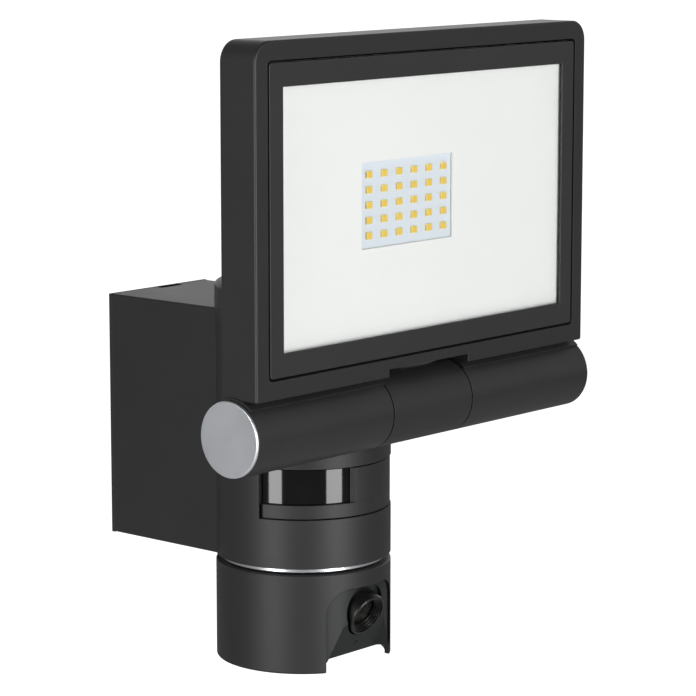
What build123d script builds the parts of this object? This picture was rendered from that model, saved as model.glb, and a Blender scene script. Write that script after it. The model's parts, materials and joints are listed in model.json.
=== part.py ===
from build123d import *
import os
from math import cos, radians, sin, tan

os.makedirs("parts", exist_ok=True)

# Floodlight security camera, in millimetres.
# The wall is the plane y = 0, the front of the object faces -Y and +Z is up.
# The origin is on the wall, at the middle of the wall box's back.

# ------------------------------------------------------------------ fits and gaps
contact_gap = 0.3        # between faces on parts that move against each other
seat_gap = 0.2           # between faces of parts that are fixed together
running_fit = 0.06       # radial, shaft in bore

# ------------------------------------------------------------------ wall box and column
box_width = 57.4
box_height = 101.8
box_edge = 1.2
housing_wall = 2.6
deck_thick = 3.0
column_radius = 36.0
column_reach = 83.2      # wall to the column's axis
seal_thick = 1.6
seal_width = 2.4
plate_thick = 1.6
plate_gap = 0.3
tab_reach = 12.0
tab_thick = 1.6
screw_hole_radius = 2.3
screw_spacing_x = 36.0
screw_spacing_z = 70.0
cable_hole_radius = 9.0
cable_hole_z = 20.0
cable_bore_radius = 4.0
notch_width = 13.0
notch_middle_x = 4.2
notch_reach = 5.0
notch_depth = 0.9        # the knock-out is thinned by this much, not cut through

# ------------------------------------------------------------------ motion sensor window
window_height = 20.75
window_rise = 30.4       # column's underside to the window's middle
window_half_angle = 78.0
lip_height = 5.95
lip_setback = 0.4        # column's face to the lip's face
lip_wall = 3.2
flange_wall = 1.8
flange_step = 1.0        # lip's top to the flange's top
lens_setback = 2.1       # column's face to the lens's face
lens_wall = 1.4
shroud_start_angle = -15.0
shroud_taper_angle = 3.5
shroud_taper_rise = 1.2
lip_seam = 0.5           # under the lip
window_top_seam = 0.6    # over the lens and the shroud
lip_end_angle = 0.9      # the lip, lens and flange end this much short of or past the opening
lens_end_angle = 1.1
flange_end_angle = 2.0

# ------------------------------------------------------------------ swivel turret
turret_height = 10.4
turret_edge = 2.0
spigot_radius = 12.0
spigot_bore_radius = 8.5
washer_radius = 20.0
washer_thick = 1.1
retainer_radius = 17.0
retainer_thick = 2.7
strap_clearance = 0.8
strap_thick = 4.6
strap_half_angle = 36.0
strap_root_height = 7.5
washer_proud = 0.1       # the washer stands this much out of its recess's running gap

# ------------------------------------------------------------------ tilt hinge
hinge_setout = 18.5      # column's face to the hinge axis
hinge_drop = 33.7        # column's top to the hinge axis
barrel_radius = 14.77
barrel_overhang = 1.2    # lamp's side to the barrel's end
barrel_wall = 3.0
joint_x = 24.2
joint_gap = 0.7          # open seam between the knuckle and each barrel
knuckle_web_width = 40.0
knuckle_web_height = 24.0
axle_radius = 5.0
axle_bore_radius = 3.2
axle_spare_thread = 3.65
tilt_washer_radius = 10.0
tilt_washer_recess = 1.2
axle_nut_thick = 5.0
axle_nut_flats = 14.0
end_cap_proud = 0.9
end_cap_inset = 0.2      # barrel's edge to the cap's edge
end_cap_edge = 0.6
end_cap_plug = 4.0

# ------------------------------------------------------------------ lamp
lamp_width = 200.0
lamp_height = 133.1
lamp_sink = 0.27         # the barrels' tops stand this far up into the lamp's underside
lamp_depth = 18.3
lamp_lead = 12.3         # hinge axis to the lamp's front plane
lamp_top_corner = 8.0
lamp_bottom_corner = 1.0
lamp_front_edge = 0.8
lamp_back_edge = 1.6
lamp_wall = 2.8
lamp_back_wall = 2.5
lamp_floor_wall = 5.8
frame_side = 6.8
frame_end = 7.3
frame_corner = 2.0
frame_lip_depth = 4.4
bezel_side = 7.6
bezel_end = 9.0
groove = 0.9
bezel_lip = 0.8
bezel_rim = 2.5
bezel_rim_depth = 2.55
bezel_corner = 1.2
bezel_edge = 0.3
glass_thick = 1.5
glass_seal_thick = 0.4
glass_seal_width = 3.6
reflector_thick = 0.8
led_window_margin_x = 3.075
led_window_margin_z = 3.46
led_window_x = -10.9
led_window_rise = 1.25   # lamp's middle to the window's middle
led_columns = 6
led_rows = 5
led_pitch_x = 8.95
led_pitch_z = 5.87
led_width = 3.5
led_height = 2.8
led_thick = 0.8
led_board_thick = 1.6
led_board_margin = 4.0
spreader_thick = 2.0
spreader_margin = 8.0
spreader_leg_radius = 4.0
boss_radius = 3.6
boss_inset = 6.0
boss_hole_depth = 6.0
rib_count = 7
rib_thick = 1.8
rib_height = 3.0
rib_first_x = 34.0
rib_side_margin = 18.0
rib_low_margin = 22.0
rib_top_margin = 19.1
lamp_notch_height = 3.4
lamp_notch_gap = 0.1
saddle_thick = 0.9
saddle_front_angle = 50.0
saddle_back_angle = 112.0
lamp_screw_radius = 1.5
lamp_screw_head_radius = 2.9
lamp_screw_head = 1.8
lamp_screw_bite = 5.5
vent_radius = 6.0
vent_stem_radius = 4.5
vent_drop = 30.0         # lamp's top to the vent
vent_height = 2.2
vent_edge = 0.8
vent_stem_tail = 1.5

# ------------------------------------------------------------------ camera head
trim_gap = 0.5
trim_height = 2.1
trim_setback = 2.2       # column's face to the ring's face
trim_width = 5.0
trim_edge = 0.5
head_height = 40.8
head_wall = 2.4
head_bottom_edge = 0.9
head_top_edge = 0.6
skirt_height = 4.4
arch_half_width = 19.8
arch_top_drop = 6.8      # head's top face to the crown of the arch
arch_corner = 10.0
insert_recess = 0.9
insert_wall = 2.4
insert_depth = 14.0      # insert's curved front to its back edge
plate_tilt = 24.4        # the lens plate leans back by this much, so it faces down
plate_drop = 19.3        # head's top face to the lens centre
plate_inset = 1.6        # head's face to the lens plate, at the lens centre's height
plate_half_width = 11.8
plate_taper = 0.19       # growth of the plate's half width for each mm down
side_flare = 1.28        # outward run of the recess's sides for each mm forward
hood_radius = 9.2
hood_proud = 0.9
hood_edge = 0.8
hood_mouth_radius = 8.2
hood_step = 0.9          # depth of each step
hood_step_in = 0.8       # loss of radius at each step
hood_steps = 3
hood_seat = 1.2          # width of the ledge that the hood sits on
pocket_radius = 10.9
pocket_rise = 1.2
pocket_depth = 5.2
lens_disc_radius = 6.0
lens_disc_thick = 2.2
lens_dome_rise = 1.3
lens_barrel_length = 11.0
lens_barrel_wall = 1.5
image_sensor_size = 6.0
image_sensor_thick = 1.0
camera_board_size = 18.0
camera_board_thick = 1.2
mic_hole_radius = 0.45
mic_hole_circle = 0.88
mic_hole_drop = 13.7     # lens centre to the microphone holes, down the plate
mic_radius = 2.4
mic_thick = 1.6
cover_thick = 2.0
speaker_radius = 13.5
speaker_thick = 6.0
speaker_rim = 2.0
speaker_boss_gap = 1.9   # speaker's edge to the rear screw boss
speaker_slot_count = 5
speaker_slot_pitch = 3.6
speaker_slot_length = 17.55
speaker_slot_width = 1.4
radio_board_width = 34.0
radio_board_height = 20.0
radio_board_setback = 14.0
radio_board_gap = 2.0
board_thick = 1.6
cover_screw_angles = (60, 180, 300)
cover_screw_inset = 7.3  # head's face to the screws' centres
cover_boss_radius = 3.4
cover_screw_radius = 1.3
cover_screw_head_radius = 2.5
cover_screw_head = 1.4
cover_screw_length = 7.0
button_radius = 3.0
button_side = 17.0       # button's place, left of the column's axis and in front of it
button_lead = 0.8
button_proud = 0.8
button_edge = 0.5
button_flange = 1.2
button_flange_thick = 1.0
button_travel = 0.5
switch_width = 6.0
switch_height = 3.5

# ------------------------------------------------------------------ parts inside the wall box
driver_board_y = -34.0
driver_board_width = 46.0
driver_board_margin = 4.9
transformer_width = 24.0
transformer_height = 20.0
transformer_reach = 15.0
transformer_place = (-8.0, -6.0)
winding_width = 16.0
winding_height = 26.0
winding_reach = 9.0
winding_standoff = 4.0
capacitor_reach = 16.0
capacitor_side = 14.0
terminal_width = 30.0
terminal_height = 12.0
terminal_reach = 13.0
terminal_margin = 9.0    # board's lower edge to the terminals' middle
terminal_pitch = 9.0
terminal_hole_radius = 2.4
terminal_hole_floor = 2.0
terminal_screw_recess = 1.0
terminal_screw_length = 2.5
terminal_well_depth = 4.0

# ================================================================== worked-out places
column_axis = (0, -column_reach)
box_top = box_height / 2
box_bottom = -box_height / 2
cavity_top = box_top - deck_thick
cavity_bottom = box_bottom + deck_thick
cavity_height = cavity_top - cavity_bottom
driver_board_height = cavity_height - 2 * driver_board_margin
window_middle_z = box_bottom + window_rise
window_low = window_middle_z - window_height / 2
window_high = window_middle_z + window_height / 2
lip_top = window_low + lip_height
lip_radius = column_radius - lip_setback
lip_inner_radius = lip_radius - lip_wall
flange_radius = column_radius - housing_wall - seat_gap
flange_inner_radius = flange_radius - flange_wall
lens_radius = column_radius - lens_setback
lens_inner_radius = lens_radius - lens_wall
shroud_inner_radius = lens_radius + contact_gap
turret_low = box_top + contact_gap
turret_high = turret_low + turret_height
strap_inner = column_radius + strap_clearance
strap_outer = strap_inner + strap_thick
hinge_y = -(column_reach + column_radius + hinge_setout)
hinge_z = box_top - hinge_drop
barrel_start = joint_x + joint_gap / 2
tilt_washer_thick = tilt_washer_recess + joint_gap - contact_gap
barrel_end_x = lamp_width / 2 + barrel_overhang
barrel_length = barrel_end_x - barrel_start
axle_half_length = barrel_start + barrel_wall + axle_nut_thick + axle_spare_thread
end_cap_radius = barrel_radius - end_cap_inset
lamp_bottom = hinge_z + barrel_radius - lamp_sink
lamp_front = -hinge_y + lamp_lead
lamp_top = lamp_bottom + lamp_height
lamp_middle_z = lamp_bottom + lamp_height / 2
lamp_back = lamp_front - lamp_depth
bezel_width = lamp_width - 2 * frame_side - 2 * groove
bezel_height = lamp_height - 2 * frame_end - 2 * groove
opening_width = bezel_width - 2 * bezel_side
opening_height = bezel_height - 2 * bezel_end
glass_front = lamp_front - bezel_lip
glass_back = glass_front - glass_thick
reflector_front = glass_back - glass_seal_thick
reflector_back = reflector_front - reflector_thick
led_board_front = reflector_back - seat_gap
led_board_back = led_board_front - led_board_thick
spreader_back = led_board_back - spreader_thick
cavity_back = lamp_back + lamp_back_wall
led_window_width = (led_columns - 1) * led_pitch_x + led_width + 2 * led_window_margin_x
led_window_height = (led_rows - 1) * led_pitch_z + led_height + 2 * led_window_margin_z
led_window_z = lamp_middle_z + led_window_rise
vent_z = lamp_top - vent_drop
rib_pitch = (lamp_width / 2 - rib_side_margin - rib_first_x) / (rib_count - 1)
rib_low = lamp_bottom + rib_low_margin
rib_length = lamp_height - rib_low_margin - rib_top_margin
trim_radius = column_radius - trim_setback
head_radius = column_radius
head_top = box_bottom - trim_gap - trim_height
head_bottom = head_top - head_height
cover_low = head_bottom + skirt_height
cover_high = cover_low + cover_thick
arch_top = head_top - arch_top_drop
lens_centre_z = head_top - plate_drop
lens_axis_y = -column_reach - head_radius + plate_inset
cover_screw_circle = head_radius - cover_screw_inset
speaker_y = -column_reach + cover_screw_circle - cover_boss_radius - speaker_boss_gap - speaker_radius
button_x = -button_side
button_y = -column_reach - button_lead


def at_angle(radius, angle):
    """A point round the column's axis; 0 degrees is the front and +X is positive."""
    return (
        column_axis[0] + radius * sin(radians(angle)),
        column_axis[1] - radius * cos(radians(angle)),
    )


def ring_slice(inner, outer, start, end):
    """Draw a slice of a ring round the column's axis."""
    with Locations(column_axis):
        Circle(outer)
        Circle(inner, mode=Mode.SUBTRACT)
    far = 12 * outer
    Polygon(
        column_axis, at_angle(far, end), at_angle(far, start), align=None, mode=Mode.INTERSECT
    )


# ================================================================== wall side
# Steel plate that is screwed to the wall first. Its two tabs take the housing screws.
plate_width = box_width - 2 * housing_wall - 2 * plate_gap
plate_height = box_height - 2 * deck_thick - 2 * plate_gap
tab_z = plate_height / 2
tab_screw_x = 16.0
tab_screw_y = -tab_reach + 5.0
tab_screw_radius = 1.7
with BuildPart() as wall_plate:
    with BuildSketch(Plane.XZ):
        Rectangle(plate_width, plate_height)
        with GridLocations(screw_spacing_x, screw_spacing_z, 2, 2):
            Circle(screw_hole_radius, mode=Mode.SUBTRACT)
        with Locations((0, cable_hole_z)):
            Circle(cable_hole_radius, mode=Mode.SUBTRACT)
    extrude(amount=plate_thick)
    with BuildSketch(Plane.XY.offset(-tab_z)):
        with Locations((0, -tab_reach / 2)):
            Rectangle(plate_width - 2 * screw_hole_radius, tab_reach)
        with Locations((-tab_screw_x, tab_screw_y), (tab_screw_x, tab_screw_y)):
            Circle(tab_screw_radius - seat_gap, mode=Mode.SUBTRACT)
    extrude(amount=tab_thick)
wall_plate.part.label = "wall_plate"
export_step(wall_plate.part, "parts/wall_plate.step")

# Soft gasket between the housing's back edge and the wall.
with BuildPart() as wall_seal:
    with BuildSketch(Plane.XZ):
        Rectangle(box_width, box_height)
        Rectangle(box_width - 2 * seal_width, box_height - 2 * seal_width, mode=Mode.SUBTRACT)
    extrude(amount=seal_thick)
wall_seal.part.label = "wall_seal"
export_step(wall_seal.part, "parts/wall_seal.step")

# Rubber grommet in the plate's cable hole.
grommet_lip = 1.5
with BuildPart() as cable_grommet:
    with BuildSketch(Plane.XZ):
        with Locations((0, cable_hole_z)):
            Circle(cable_hole_radius)
            Circle(cable_bore_radius, mode=Mode.SUBTRACT)
    extrude(amount=plate_thick + grommet_lip)
    with BuildSketch(Plane.XZ.offset(plate_thick)):
        with Locations((0, cable_hole_z)):
            Circle(cable_hole_radius + grommet_lip)
            Circle(cable_bore_radius, mode=Mode.SUBTRACT)
    extrude(amount=grommet_lip)
cable_grommet.part.label = "cable_grommet"
export_step(cable_grommet.part, "parts/cable_grommet.step")

# Moulded housing: the wall box and the round column are one shell, open at the back.
# A thinned patch in the box's top is the knock-out for a cable that runs on the wall.
with BuildPart() as main_housing:
    with BuildSketch(Plane.XY.offset(box_bottom)):
        with Locations((0, -(seal_thick + column_reach) / 2)):
            Rectangle(box_width, column_reach - seal_thick)
    extrude(amount=box_height)
    fillet(main_housing.edges().filter_by(Axis.Y), box_edge)
    with BuildSketch(Plane.XY.offset(box_bottom)):
        with Locations(column_axis):
            Circle(column_radius)
    extrude(amount=box_height)
    with BuildSketch(Plane.XY.offset(cavity_bottom)):
        with Locations((0, -column_reach / 2)):
            Rectangle(box_width - 2 * housing_wall, column_reach)
        with Locations(column_axis):
            Circle(column_radius - housing_wall)
    extrude(amount=cavity_top - cavity_bottom, mode=Mode.SUBTRACT)
    with BuildSketch(Plane.XY.offset(box_bottom)):
        with Locations(column_axis):
            Circle(spigot_radius + running_fit)
    extrude(amount=box_height, mode=Mode.SUBTRACT)
    with BuildSketch(Plane.XY.offset(window_low)):
        ring_slice(
            column_radius - 2 * housing_wall,
            column_radius + housing_wall,
            -window_half_angle,
            window_half_angle,
        )
    extrude(amount=window_height, mode=Mode.SUBTRACT)
    with BuildSketch(Plane.XY.offset(box_top - notch_depth)):
        with Locations((notch_middle_x, -notch_reach / 2)):
            Rectangle(notch_width, notch_reach)
    extrude(amount=notch_depth, mode=Mode.SUBTRACT)
    with BuildSketch(Plane.XY.offset(box_bottom)):
        with Locations((-tab_screw_x, tab_screw_y), (tab_screw_x, tab_screw_y)):
            Circle(tab_screw_radius + seat_gap)
    extrude(amount=deck_thick, mode=Mode.SUBTRACT)
main_housing.part.label = "main_housing"
export_step(main_housing.part, "parts/main_housing.step")

# Two screws from below, through the housing's floor into the wall plate's tab.
screw_head_radius = 3.1
screw_head_thick = 1.6
with BuildPart() as housing_screws:
    with BuildSketch(Plane.XY.offset(box_bottom)):
        with Locations((-tab_screw_x, tab_screw_y), (tab_screw_x, tab_screw_y)):
            Circle(tab_screw_radius - seat_gap)
    extrude(amount=deck_thick + plate_gap + tab_thick)
    with BuildSketch(Plane.XY.offset(box_bottom - screw_head_thick)):
        with Locations((-tab_screw_x, tab_screw_y), (tab_screw_x, tab_screw_y)):
            Circle(screw_head_radius)
    extrude(amount=screw_head_thick)
    chamfer(housing_screws.faces().sort_by(Axis.Z)[:2].edges(), 0.4)
housing_screws.part.label = "housing_screws"
export_step(housing_screws.part, "parts/housing_screws.step")

# ================================================================== mains parts in the wall box
with BuildPart() as driver_board:
    with BuildSketch(Plane.XZ.offset(-driver_board_y)):
        Rectangle(driver_board_width, driver_board_height)
    extrude(amount=board_thick)
driver_board.part.label = "driver_board"
export_step(driver_board.part, "parts/driver_board.step")

with BuildPart() as transformer:
    with BuildSketch(Plane.XZ.offset(-driver_board_y)):
        with Locations(transformer_place):
            Rectangle(transformer_width, transformer_height)
    extrude(amount=-transformer_reach)
    with BuildSketch(Plane.XZ.offset(-driver_board_y - winding_standoff)):
        with Locations(transformer_place):
            Rectangle(winding_width, winding_height)
    extrude(amount=-winding_reach)
transformer.part.label = "transformer"
export_step(transformer.part, "parts/transformer.step")

capacitor_places = (
    (capacitor_side, 2.0, 5.0),
    (capacitor_side, -11.0, 5.0),
    (-capacitor_side, driver_board_height / 2 - 7.0, 4.0),
)
with BuildPart() as capacitors:
    for x, z, radius in capacitor_places:
        with BuildSketch(Plane.XZ.offset(-driver_board_y)):
            with Locations((x, z)):
                Circle(radius)
        extrude(amount=-capacitor_reach)
capacitors.part.label = "capacitors"
export_step(capacitors.part, "parts/capacitors.step")

terminal_z = terminal_margin - driver_board_height / 2
with BuildPart() as terminal_block:
    with BuildSketch(Plane.XZ.offset(-driver_board_y)):
        with Locations((0, terminal_z)):
            Rectangle(terminal_width, terminal_height)
    extrude(amount=-terminal_reach)
    with BuildSketch(Plane.XY.offset(terminal_z + terminal_height / 2)):
        with Locations((0, driver_board_y + terminal_reach / 2)):
            with GridLocations(terminal_pitch, 1, 3, 1):
                Circle(terminal_hole_radius)
    extrude(amount=terminal_hole_floor - terminal_height, mode=Mode.SUBTRACT)
    with BuildSketch(Plane.XZ.offset(-driver_board_y - terminal_reach)):
        with Locations((0, terminal_z)):
            with GridLocations(terminal_pitch, 1, 3, 1):
                Circle(terminal_hole_radius)
    extrude(amount=terminal_well_depth, mode=Mode.SUBTRACT)
terminal_block.part.label = "terminal_block"
export_step(terminal_block.part, "parts/terminal_block.step")

with BuildPart() as terminal_screws:
    with BuildSketch(Plane.XZ.offset(-driver_board_y - terminal_reach + terminal_screw_recess)):
        with Locations((0, terminal_z)):
            with GridLocations(terminal_pitch, 1, 3, 1):
                Circle(terminal_hole_radius - seat_gap)
    extrude(amount=terminal_screw_length)
terminal_screws.part.label = "terminal_screws"
export_step(terminal_screws.part, "parts/terminal_screws.step")

# ================================================================== motion sensor
# Lip that frames the window's lower edge, with a flange behind the housing's wall.
lip_end_round = 1.4
lip_half_angle = window_half_angle - lip_end_angle
lens_half_angle = window_half_angle - lens_end_angle
flange_half_angle = window_half_angle + flange_end_angle
with BuildPart() as sensor_frame:
    with BuildSketch(Plane.XY.offset(window_low + lip_seam)):
        ring_slice(lip_inner_radius, lip_radius, -lip_half_angle, lip_half_angle)
    extrude(amount=lip_height - lip_seam)
    outer_ends = [
        edge
        for edge in sensor_frame.edges().filter_by(Axis.Z)
        if (edge.center() - Vector(0, -column_reach, edge.center().Z)).length > lip_radius - 0.5
    ]
    fillet(outer_ends, lip_end_round)
    with BuildSketch(Plane.XY.offset(window_low - housing_wall)):
        ring_slice(flange_inner_radius, flange_radius, -flange_half_angle, flange_half_angle)
    extrude(amount=housing_wall + lip_height - flange_step)
sensor_frame.part.label = "sensor_frame"
export_step(sensor_frame.part, "parts/sensor_frame.step")

# Dark curved lens that stands on the lip.
lens_height = window_high - window_top_seam - lip_top
with BuildPart() as pir_lens:
    with BuildSketch(Plane.XY.offset(lip_top)):
        ring_slice(lens_inner_radius, lens_radius, -lens_half_angle, lens_half_angle)
    extrude(amount=lens_height)
pir_lens.part.label = "pir_lens"
export_step(pir_lens.part, "parts/pir_lens.step")

# Clip-on shroud that masks one side of the lens, flush with the lip. Its free end tapers off.
with BuildPart() as lens_shroud:
    with BuildSketch(Plane.XY.offset(lip_top)):
        ring_slice(shroud_inner_radius, lip_radius, shroud_start_angle, lip_half_angle)
        Polygon(
            at_angle(lip_radius - shroud_taper_rise, shroud_start_angle),
            at_angle(lip_radius + shroud_taper_rise, shroud_start_angle),
            at_angle(lip_radius, shroud_start_angle + shroud_taper_angle),
            align=None,
            mode=Mode.SUBTRACT,
        )
    extrude(amount=lens_height)
lens_shroud.part.label = "lens_shroud"
export_step(lens_shroud.part, "parts/lens_shroud.step")

# Three small boards behind the lens, each with one heat sensor can.
sensor_angles = (-52, 0, 52)
sensor_board_radius = 21.0
sensor_board_height = 18.75
sensor_board_width = 15.0
sensor_can_rise = 2.0
sensor_can_radius = 4.0
sensor_can_height = 3.6
with BuildPart() as pir_boards:
    for angle in sensor_angles:
        x, y = at_angle(sensor_board_radius, angle)
        facing = Vector(sin(radians(angle)), -cos(radians(angle)), 0)
        board_plane = Plane(origin=(x, y, window_middle_z), x_dir=(0, 0, 1), z_dir=facing)
        with BuildSketch(board_plane):
            Rectangle(sensor_board_height, sensor_board_width)
        extrude(amount=-board_thick)
pir_boards.part.label = "pir_boards"
export_step(pir_boards.part, "parts/pir_boards.step")

with BuildPart() as pyro_sensors:
    for angle in sensor_angles:
        x, y = at_angle(sensor_board_radius, angle)
        facing = Vector(sin(radians(angle)), -cos(radians(angle)), 0)
        can_middle = (x, y, window_middle_z + sensor_can_rise)
        can_plane = Plane(origin=can_middle, x_dir=(0, 0, 1), z_dir=facing)
        with BuildSketch(can_plane):
            Circle(sensor_can_radius)
        extrude(amount=sensor_can_height)
pyro_sensors.part.label = "pyro_sensors"
export_step(pyro_sensors.part, "parts/pyro_sensors.step")

# Bright ring under the column, above the turning camera head.
with BuildPart() as trim_ring:
    with BuildSketch(Plane.XY.offset(box_bottom)):
        with Locations(column_axis):
            Circle(trim_radius)
            Circle(trim_radius - trim_width, mode=Mode.SUBTRACT)
    extrude(amount=-trim_height)
    fillet(trim_ring.faces().sort_by(Axis.Z)[0].edges(), trim_edge)
trim_ring.part.label = "trim_ring"
export_step(trim_ring.part, "parts/trim_ring.step")

# Plain bearing washer between the column and the camera head.
with BuildPart() as pan_washer:
    with BuildSketch(Plane.XY.offset(box_bottom)):
        with Locations(column_axis):
            Circle(washer_radius)
            Circle(spigot_radius + contact_gap, mode=Mode.SUBTRACT)
    extrude(amount=-(trim_height + trim_gap - contact_gap))
pan_washer.part.label = "pan_washer"
export_step(pan_washer.part, "parts/pan_washer.step")

# Friction washer on top of the column, under the turret.
with BuildPart() as swivel_washer:
    with BuildSketch(Plane.XY.offset(box_top)):
        with Locations(column_axis):
            Circle(washer_radius)
            Circle(spigot_radius + contact_gap, mode=Mode.SUBTRACT)
    extrude(amount=washer_thick)
swivel_washer.part.label = "swivel_washer"
export_step(swivel_washer.part, "parts/swivel_washer.step")

# ================================================================== swivel
# Turret: cap on the column, curved strap down its front and the middle knuckle of the hinge.
washer_recess = washer_thick + contact_gap - washer_proud
knuckle_half = joint_x - joint_gap / 2
spigot_low = cavity_top - contact_gap - retainer_thick
with BuildPart() as turret:
    with BuildSketch(Plane.XY.offset(turret_low)):
        with Locations(column_axis):
            Circle(column_radius)
    extrude(amount=turret_height)
    fillet(turret.faces().sort_by(Axis.Z)[-1].edges(), turret_edge)
    with BuildSketch(Plane.XY.offset(turret_low)):
        ring_slice(spigot_radius, strap_outer, -strap_half_angle, strap_half_angle)
    extrude(amount=strap_root_height)
    with BuildSketch(Plane.XY.offset(hinge_z - knuckle_web_height / 2)):
        ring_slice(strap_inner, strap_outer, -strap_half_angle, strap_half_angle)
    extrude(amount=turret_low - hinge_z + knuckle_web_height / 2)
    with BuildSketch(Plane.XZ.offset(column_reach)):
        with Locations((0, hinge_z)):
            Rectangle(knuckle_web_width, knuckle_web_height)
    extrude(amount=-hinge_y - column_reach)
    with BuildSketch(Plane.XY.offset(hinge_z - barrel_radius)):
        with Locations(column_axis):
            Circle(strap_inner)
    extrude(amount=turret_low - hinge_z + barrel_radius, mode=Mode.SUBTRACT)
    with BuildSketch(Plane.YZ.offset(-knuckle_half)):
        with Locations((hinge_y, hinge_z)):
            Circle(barrel_radius)
    extrude(amount=2 * knuckle_half)
    with BuildSketch(Plane.YZ.offset(-knuckle_half)):
        with Locations((hinge_y, hinge_z)):
            Circle(axle_radius + running_fit)
    extrude(amount=2 * knuckle_half, mode=Mode.SUBTRACT)
    for side in (-1, 1):
        with BuildSketch(Plane.YZ.offset(side * knuckle_half)):
            with Locations((hinge_y, hinge_z)):
                Circle(tilt_washer_radius + seat_gap)
        extrude(amount=-side * tilt_washer_recess, mode=Mode.SUBTRACT)
    with BuildSketch(Plane.XY.offset(turret_low)):
        with Locations(column_axis):
            Circle(washer_radius + contact_gap)
    extrude(amount=washer_recess, mode=Mode.SUBTRACT)
    with BuildSketch(Plane.XY.offset(spigot_low)):
        with Locations(column_axis):
            Circle(spigot_radius)
    extrude(amount=turret_low + washer_recess - spigot_low)
    with BuildSketch(Plane.XY.offset(spigot_low)):
        with Locations(column_axis):
            Circle(spigot_bore_radius)
    extrude(amount=turret_high - turret_edge - spigot_low, mode=Mode.SUBTRACT)
turret.part.label = "turret"
export_step(turret.part, "parts/turret.step")

# Ring nut that holds the turret's spigot from below the top deck.
with BuildPart() as swivel_retainer:
    with BuildSketch(Plane.XY.offset(spigot_low)):
        with Locations(column_axis):
            Circle(retainer_radius)
            Circle(spigot_radius, mode=Mode.SUBTRACT)
    extrude(amount=retainer_thick)
swivel_retainer.part.label = "swivel_retainer"
export_step(swivel_retainer.part, "parts/swivel_retainer.step")

# Friction washers in the two faces of the knuckle.
with BuildPart() as tilt_washers:
    for side in (-1, 1):
        with BuildSketch(Plane.YZ.offset(side * (knuckle_half - tilt_washer_recess))):
            with Locations((hinge_y, hinge_z)):
                Circle(tilt_washer_radius)
                Circle(axle_radius + contact_gap, mode=Mode.SUBTRACT)
        extrude(amount=side * tilt_washer_thick)
tilt_washers.part.label = "tilt_washers"
export_step(tilt_washers.part, "parts/tilt_washers.step")

# ================================================================== lamp
# Tray that holds the light; its saddle sits on the two outer barrels of the hinge.
boss_x = lamp_width / 2 - frame_side - boss_inset
boss_z = lamp_height / 2 - frame_end - boss_inset
saddle_end_gap = 0.6     # the saddle stops at the lamp's side, short of the barrel's end
saddle_length = barrel_length - saddle_end_gap
with BuildPart() as lamp_housing:
    with BuildSketch(Plane.XZ.offset(lamp_back)) as lamp_outline:
        with Locations((0, lamp_middle_z)):
            Rectangle(lamp_width, lamp_height)
        fillet(lamp_outline.vertices().group_by(Axis.Y)[-1], lamp_top_corner)
        fillet(lamp_outline.vertices().group_by(Axis.Y)[0], lamp_bottom_corner)
    extrude(amount=lamp_depth)
    fillet(lamp_housing.faces().sort_by(Axis.Y)[0].edges(), lamp_front_edge)
    fillet(lamp_housing.faces().sort_by(Axis.Y)[-1].edges(), lamp_back_edge)
    with BuildSketch(Plane.XZ.offset(cavity_back)):
        with Locations((0, (lamp_bottom + lamp_floor_wall + lamp_top - lamp_wall) / 2)):
            RectangleRounded(
                lamp_width - 2 * lamp_wall,
                lamp_height - lamp_floor_wall - lamp_wall,
                lamp_top_corner - lamp_wall,
            )
    extrude(amount=lamp_front - frame_lip_depth - cavity_back, mode=Mode.SUBTRACT)
    with BuildSketch(Plane.XZ.offset(cavity_back)):
        with Locations((0, lamp_middle_z)):
            RectangleRounded(
                lamp_width - 2 * frame_side, lamp_height - 2 * frame_end, frame_corner
            )
    extrude(amount=lamp_front - cavity_back, mode=Mode.SUBTRACT)
    with BuildSketch(Plane.XZ.offset(cavity_back)):
        with Locations((0, lamp_middle_z)):
            with GridLocations(2 * boss_x, 2 * boss_z, 2, 2):
                Circle(boss_radius)
    extrude(amount=reflector_back - cavity_back)
    for side in (-1, 1):
        for index in range(rib_count):
            with BuildSketch(Plane.XZ.offset(lamp_back)):
                with Locations((side * (rib_first_x + index * rib_pitch), rib_low + rib_length / 2)):
                    SlotOverall(rib_length, rib_thick, rotation=90)
            extrude(amount=-rib_height)
    for start in (-barrel_start - saddle_length, barrel_start):
        with BuildSketch(Plane.YZ.offset(start)):
            with Locations((hinge_y, hinge_z)):
                Circle(barrel_radius + saddle_thick)
            far = 4 * barrel_radius
            Polygon(
                (hinge_y, hinge_z),
                (
                    hinge_y - far * cos(radians(saddle_front_angle)),
                    hinge_z + far * sin(radians(saddle_front_angle)),
                ),
                (
                    hinge_y - far * cos(radians(saddle_back_angle)),
                    hinge_z + far * sin(radians(saddle_back_angle)),
                ),
                align=None,
                mode=Mode.INTERSECT,
            )
        extrude(amount=saddle_length)
    with BuildSketch(Plane.YZ.offset(-barrel_end_x)):
        with Locations((hinge_y, hinge_z)):
            Circle(barrel_radius)
    extrude(amount=2 * barrel_end_x, mode=Mode.SUBTRACT)
    with BuildSketch(Plane.XZ.offset(lamp_back - rib_height)):
        with Locations((0, lamp_bottom)):
            Rectangle(2 * (joint_x + lamp_notch_gap), 2 * lamp_notch_height)
    extrude(amount=lamp_depth + 2 * rib_height, mode=Mode.SUBTRACT)
    with BuildSketch(Plane.XZ.offset(lamp_back)):
        with Locations((0, lamp_middle_z)):
            with GridLocations(2 * boss_x, 2 * boss_z, 2, 2):
                Circle(lamp_screw_radius)
    extrude(amount=lamp_back_wall + boss_hole_depth, mode=Mode.SUBTRACT)
    with BuildSketch(Plane.XZ.offset(lamp_back)):
        with Locations((0, vent_z)):
            Circle(vent_stem_radius)
    extrude(amount=lamp_back_wall, mode=Mode.SUBTRACT)
lamp_housing.part.label = "lamp_housing"
export_step(lamp_housing.part, "parts/lamp_housing.step")

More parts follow.
